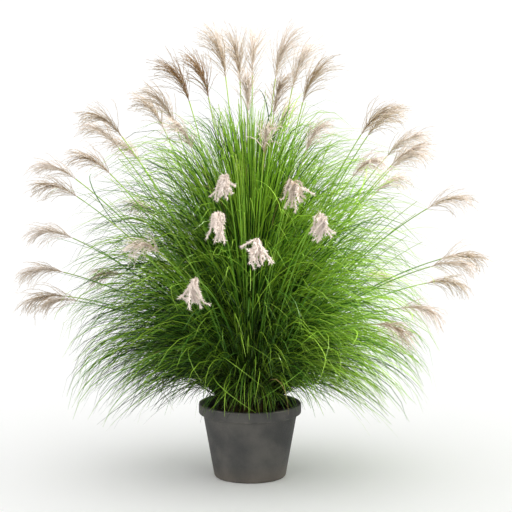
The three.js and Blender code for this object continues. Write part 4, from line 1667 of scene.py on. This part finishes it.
@dataclass
class Clump:
    """The whole plant: its tufts and all its flower heads."""

    heads: tuple[tuple[float, float, float, float, Tone], ...] = (
        # crest
        (-0.080, 0.040, 1.112, 1, Tone.BUFF),
        (-0.032, -0.060, 1.108, 1, Tone.BUFF),
        (0.008, 0.140, 1.109, 1, Tone.BLUSH),
        (0.083, -0.020, 1.111, 1, Tone.BLUSH),
        (0.141, 0.110, 1.071, 1, Tone.BLUSH),
        (0.173, -0.040, 1.037, 1, Tone.BUFF),
        (-0.006, -0.135, 1.012, 1, Tone.BLUSH),
        (0.077, -0.150, 1.006, 1, Tone.BUFF),
        (0.045, -0.265, 0.897, 1.2, Tone.BLUSH),
        (0.099, 0.230, 0.895, 1, Tone.BLUSH),
        (-0.198, -0.030, 1.039, 1, Tone.BROWN),
        (-0.138, 0.115, 1.038, 1, Tone.BROWN),
        # left flank
        (-0.246, 0.030, 0.954, 1, Tone.BUFF),
        (-0.292, 0.170, 0.930, 1, Tone.BUFF),
        (-0.416, -0.070, 0.927, 1, Tone.BUFF),
        (-0.438, 0.120, 0.869, 1, Tone.BLUSH),
        (-0.371, 0.250, 0.803, 1, Tone.BLUSH),
        (-0.448, -0.200, 0.822, 1, Tone.BUFF),
        (-0.579, 0.070, 0.771, 1, Tone.BLUSH),
        (-0.560, -0.125, 0.738, 1, Tone.BUFF),
        (-0.582, -0.040, 0.589, 1, Tone.BLUSH),
        (-0.618, 0.010, 0.467, 1, Tone.BLUSH),
        (-0.595, -0.140, 0.412, 1, Tone.BUFF),
        (-0.580, 0.150, 0.345, 1, Tone.BLUSH),
        # front
        (-0.288, -0.350, 0.590, 1.3, Tone.BLUSH),
        (-0.070, -0.335, 0.820, 2, Tone.CREAM),
        (-0.092, -0.440, 0.722, 2, Tone.CREAM),
        (0.128, -0.335, 0.801, 2, Tone.BLUSH),
        (0.022, -0.500, 0.650, 2, Tone.CREAM),
        (0.211, -0.420, 0.714, 2, Tone.CREAM),
        (-0.166, -0.510, 0.530, 2, Tone.CREAM),
        (-0.185, -0.225, 0.905, 1.2, Tone.BLUSH),
        (0.180, -0.235, 0.900, 1.2, Tone.BLUSH),
        # right flank
        (0.362, -0.050, 0.931, 1, Tone.BUFF),
        (0.390, 0.110, 0.908, 1, Tone.BUFF),
        (0.452, 0.030, 0.852, 1, Tone.BLUSH),
        (0.455, -0.175, 0.845, 1, Tone.BLUSH),
        (0.470, 0.230, 0.777, 1, Tone.BLUSH),
        (0.326, -0.310, 0.825, 1.2, Tone.BLUSH),
        (0.430, 0.330, 0.690, 1, Tone.BLUSH),
        (0.582, -0.030, 0.685, 1, Tone.BLUSH),
        (0.588, -0.110, 0.505, 1, Tone.BLUSH),
        (0.640, 0.080, 0.501, 1, Tone.BUFF),
        (0.480, -0.290, 0.400, 1, Tone.BLUSH),
        (0.600, 0.190, 0.400, 1, Tone.BUFF),
        (0.400, -0.420, 0.372, 1.3, Tone.BUFF),
        # back
        (-0.330, 0.400, 0.600, 1.2, Tone.BLUSH),
        (0.030, 0.400, 0.760, 1.5, Tone.CREAM),
        (-0.120, 0.490, 0.560, 1.5, Tone.CREAM),
        (0.190, 0.500, 0.520, 1.5, Tone.BLUSH),
        (-0.440, 0.330, 0.400, 1.2, Tone.BUFF),
        (0.400, 0.430, 0.380, 1.2, Tone.BLUSH),
    )

    def build(self, leaf: LeafFinish, stem: StemFinish, silk: PlumeFinish) -> None:
        """Grows every tuft and plume.

        Args:
            leaf: The finish of the leaves.
            stem: The finish of the stems.
            silk: The finish of the plumes.
        """
        stems = [FlowerStem(i + 1, *row[:4], row[4].value) for i, row in enumerate(self.heads)]
        sweep, brush = SweepRecipe(), PlumeRecipe()
        leaf_skin, stem_skin, silk_skin = leaf.material(), stem.material(), silk.material()
        crown = Crown()
        for index in range(TUFTS):
            tuft = Tuft(index, crown, [one for one in stems if one.tuft == index])
            tuft.build(sweep, leaf_skin, stem_skin)
        for one in stems:
            Plume(one).build(brush, silk_skin)


@dataclass
class Studio:
    """A pale floor, soft light mostly from the right and behind, and the camera at the photo's angle."""

    elevation: float = math.radians(9)
    distance: float = 8.0
    focal_length: float = 170.0
    aim: tuple[float, float, float] = (0.02, 0.0, 0.745)
    sensor_width: float = 36.0
    floor_radius: float = 90.0
    floor_sides: int = 96
    floor_colour: Colour = (0.965, 0.965, 0.96, 1.0)
    floor_roughness: float = 0.9
    floor_gloss: float = 0.2
    sky: float = 1.1
    lamps: tuple[tuple[str, tuple[float, float, float], float, float], ...] = (
        ("key", (3.2, 0.9, 4.2), 1.2, 640.0),
        ("front_fill", (-2.6, -3.8, 2.6), 3.0, 70.0),
        ("top", (0.2, 0.3, 5.0), 3.0, 60.0),
    )

    def build(self) -> None:
        """Sets up the floor, the light and the camera."""
        spared = self.add_floor()
        for name, place, size, power in self.lamps:
            self.add_light(name, place, size, power, spared)
        world = bpy.data.worlds.new("studio")
        world.use_nodes = True
        background = world.node_tree.nodes["Background"]
        background.inputs["Color"].default_value = (1.0, 1.0, 1.0, 1.0)
        background.inputs["Strength"].default_value = self.sky
        bpy.context.scene.world = world
        bpy.context.scene.view_settings.view_transform = "Standard"
        self.add_camera()

    def add_floor(self) -> bpy.types.Collection:
        """Adds the round pale floor.

        Returns:
            A collection that keeps the lamps off the floor, so that it stays even.
        """
        rim = ring(self.floor_sides) * self.floor_radius
        mesh = bpy.data.meshes.new("floor")
        mesh.from_pydata([tuple(map(float, place)) for place in rim], [], [tuple(range(self.floor_sides))])
        bench = Bench.of_material("pale_floor")
        paint = bench.surface(self.floor_colour, self.floor_roughness, self.floor_gloss, {})
        mesh.materials.append(bench.seal(paint))
        floor = add_object("floor", mesh)
        spared = bpy.data.collections.new("lit_by_the_sky_alone")
        spared.objects.link(floor)
        spared.collection_objects[0].light_linking.link_state = "EXCLUDE"
        return spared

    def add_light(
        self, name: str, place: tuple[float, float, float], size: float, power: float, spared: bpy.types.Collection
    ) -> None:
        """Adds a soft square light that faces the plant.

        Args:
            name: What it is called.
            place: Where it is.
            size: How wide it is.
            power: How strong it is, in watts.
            spared: What it doesn't light.
        """
        lamp = bpy.data.lights.new(name, "AREA")
        lamp.energy, lamp.size = power, size
        light = add_object(name, lamp)
        light.location = place
        light.rotation_euler = (Vector(self.aim) - Vector(place)).to_track_quat("-Z", "Y").to_euler()
        light.light_linking.receiver_collection = spared

    def add_camera(self) -> None:
        """Adds the camera, which looks at the plant from a little above."""
        lens = bpy.data.cameras.new("camera")
        lens.lens, lens.sensor_width, lens.clip_end = self.focal_length, self.sensor_width, 400.0
        camera = add_object("camera", lens)
        aim = Vector(self.aim)
        back = Vector((0.0, -math.cos(self.elevation), math.sin(self.elevation)))
        camera.location = aim + back * self.distance
        camera.rotation_euler = (-back).to_track_quat("-Z", "Y").to_euler()
        bpy.context.scene.camera = camera


def main() -> None:
    """Builds every piece in order."""
    logging.basicConfig(level=logging.INFO, format="%(name)s: %(message)s")
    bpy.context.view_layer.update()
    Studio().build()
    pot = Pot()
    pot.build(PotFinish())
    Compost().build(pot, CompostFinish())
    Clump().build(LeafFinish(), StemFinish(), PlumeFinish())


if __name__ == "__main__":
    main()
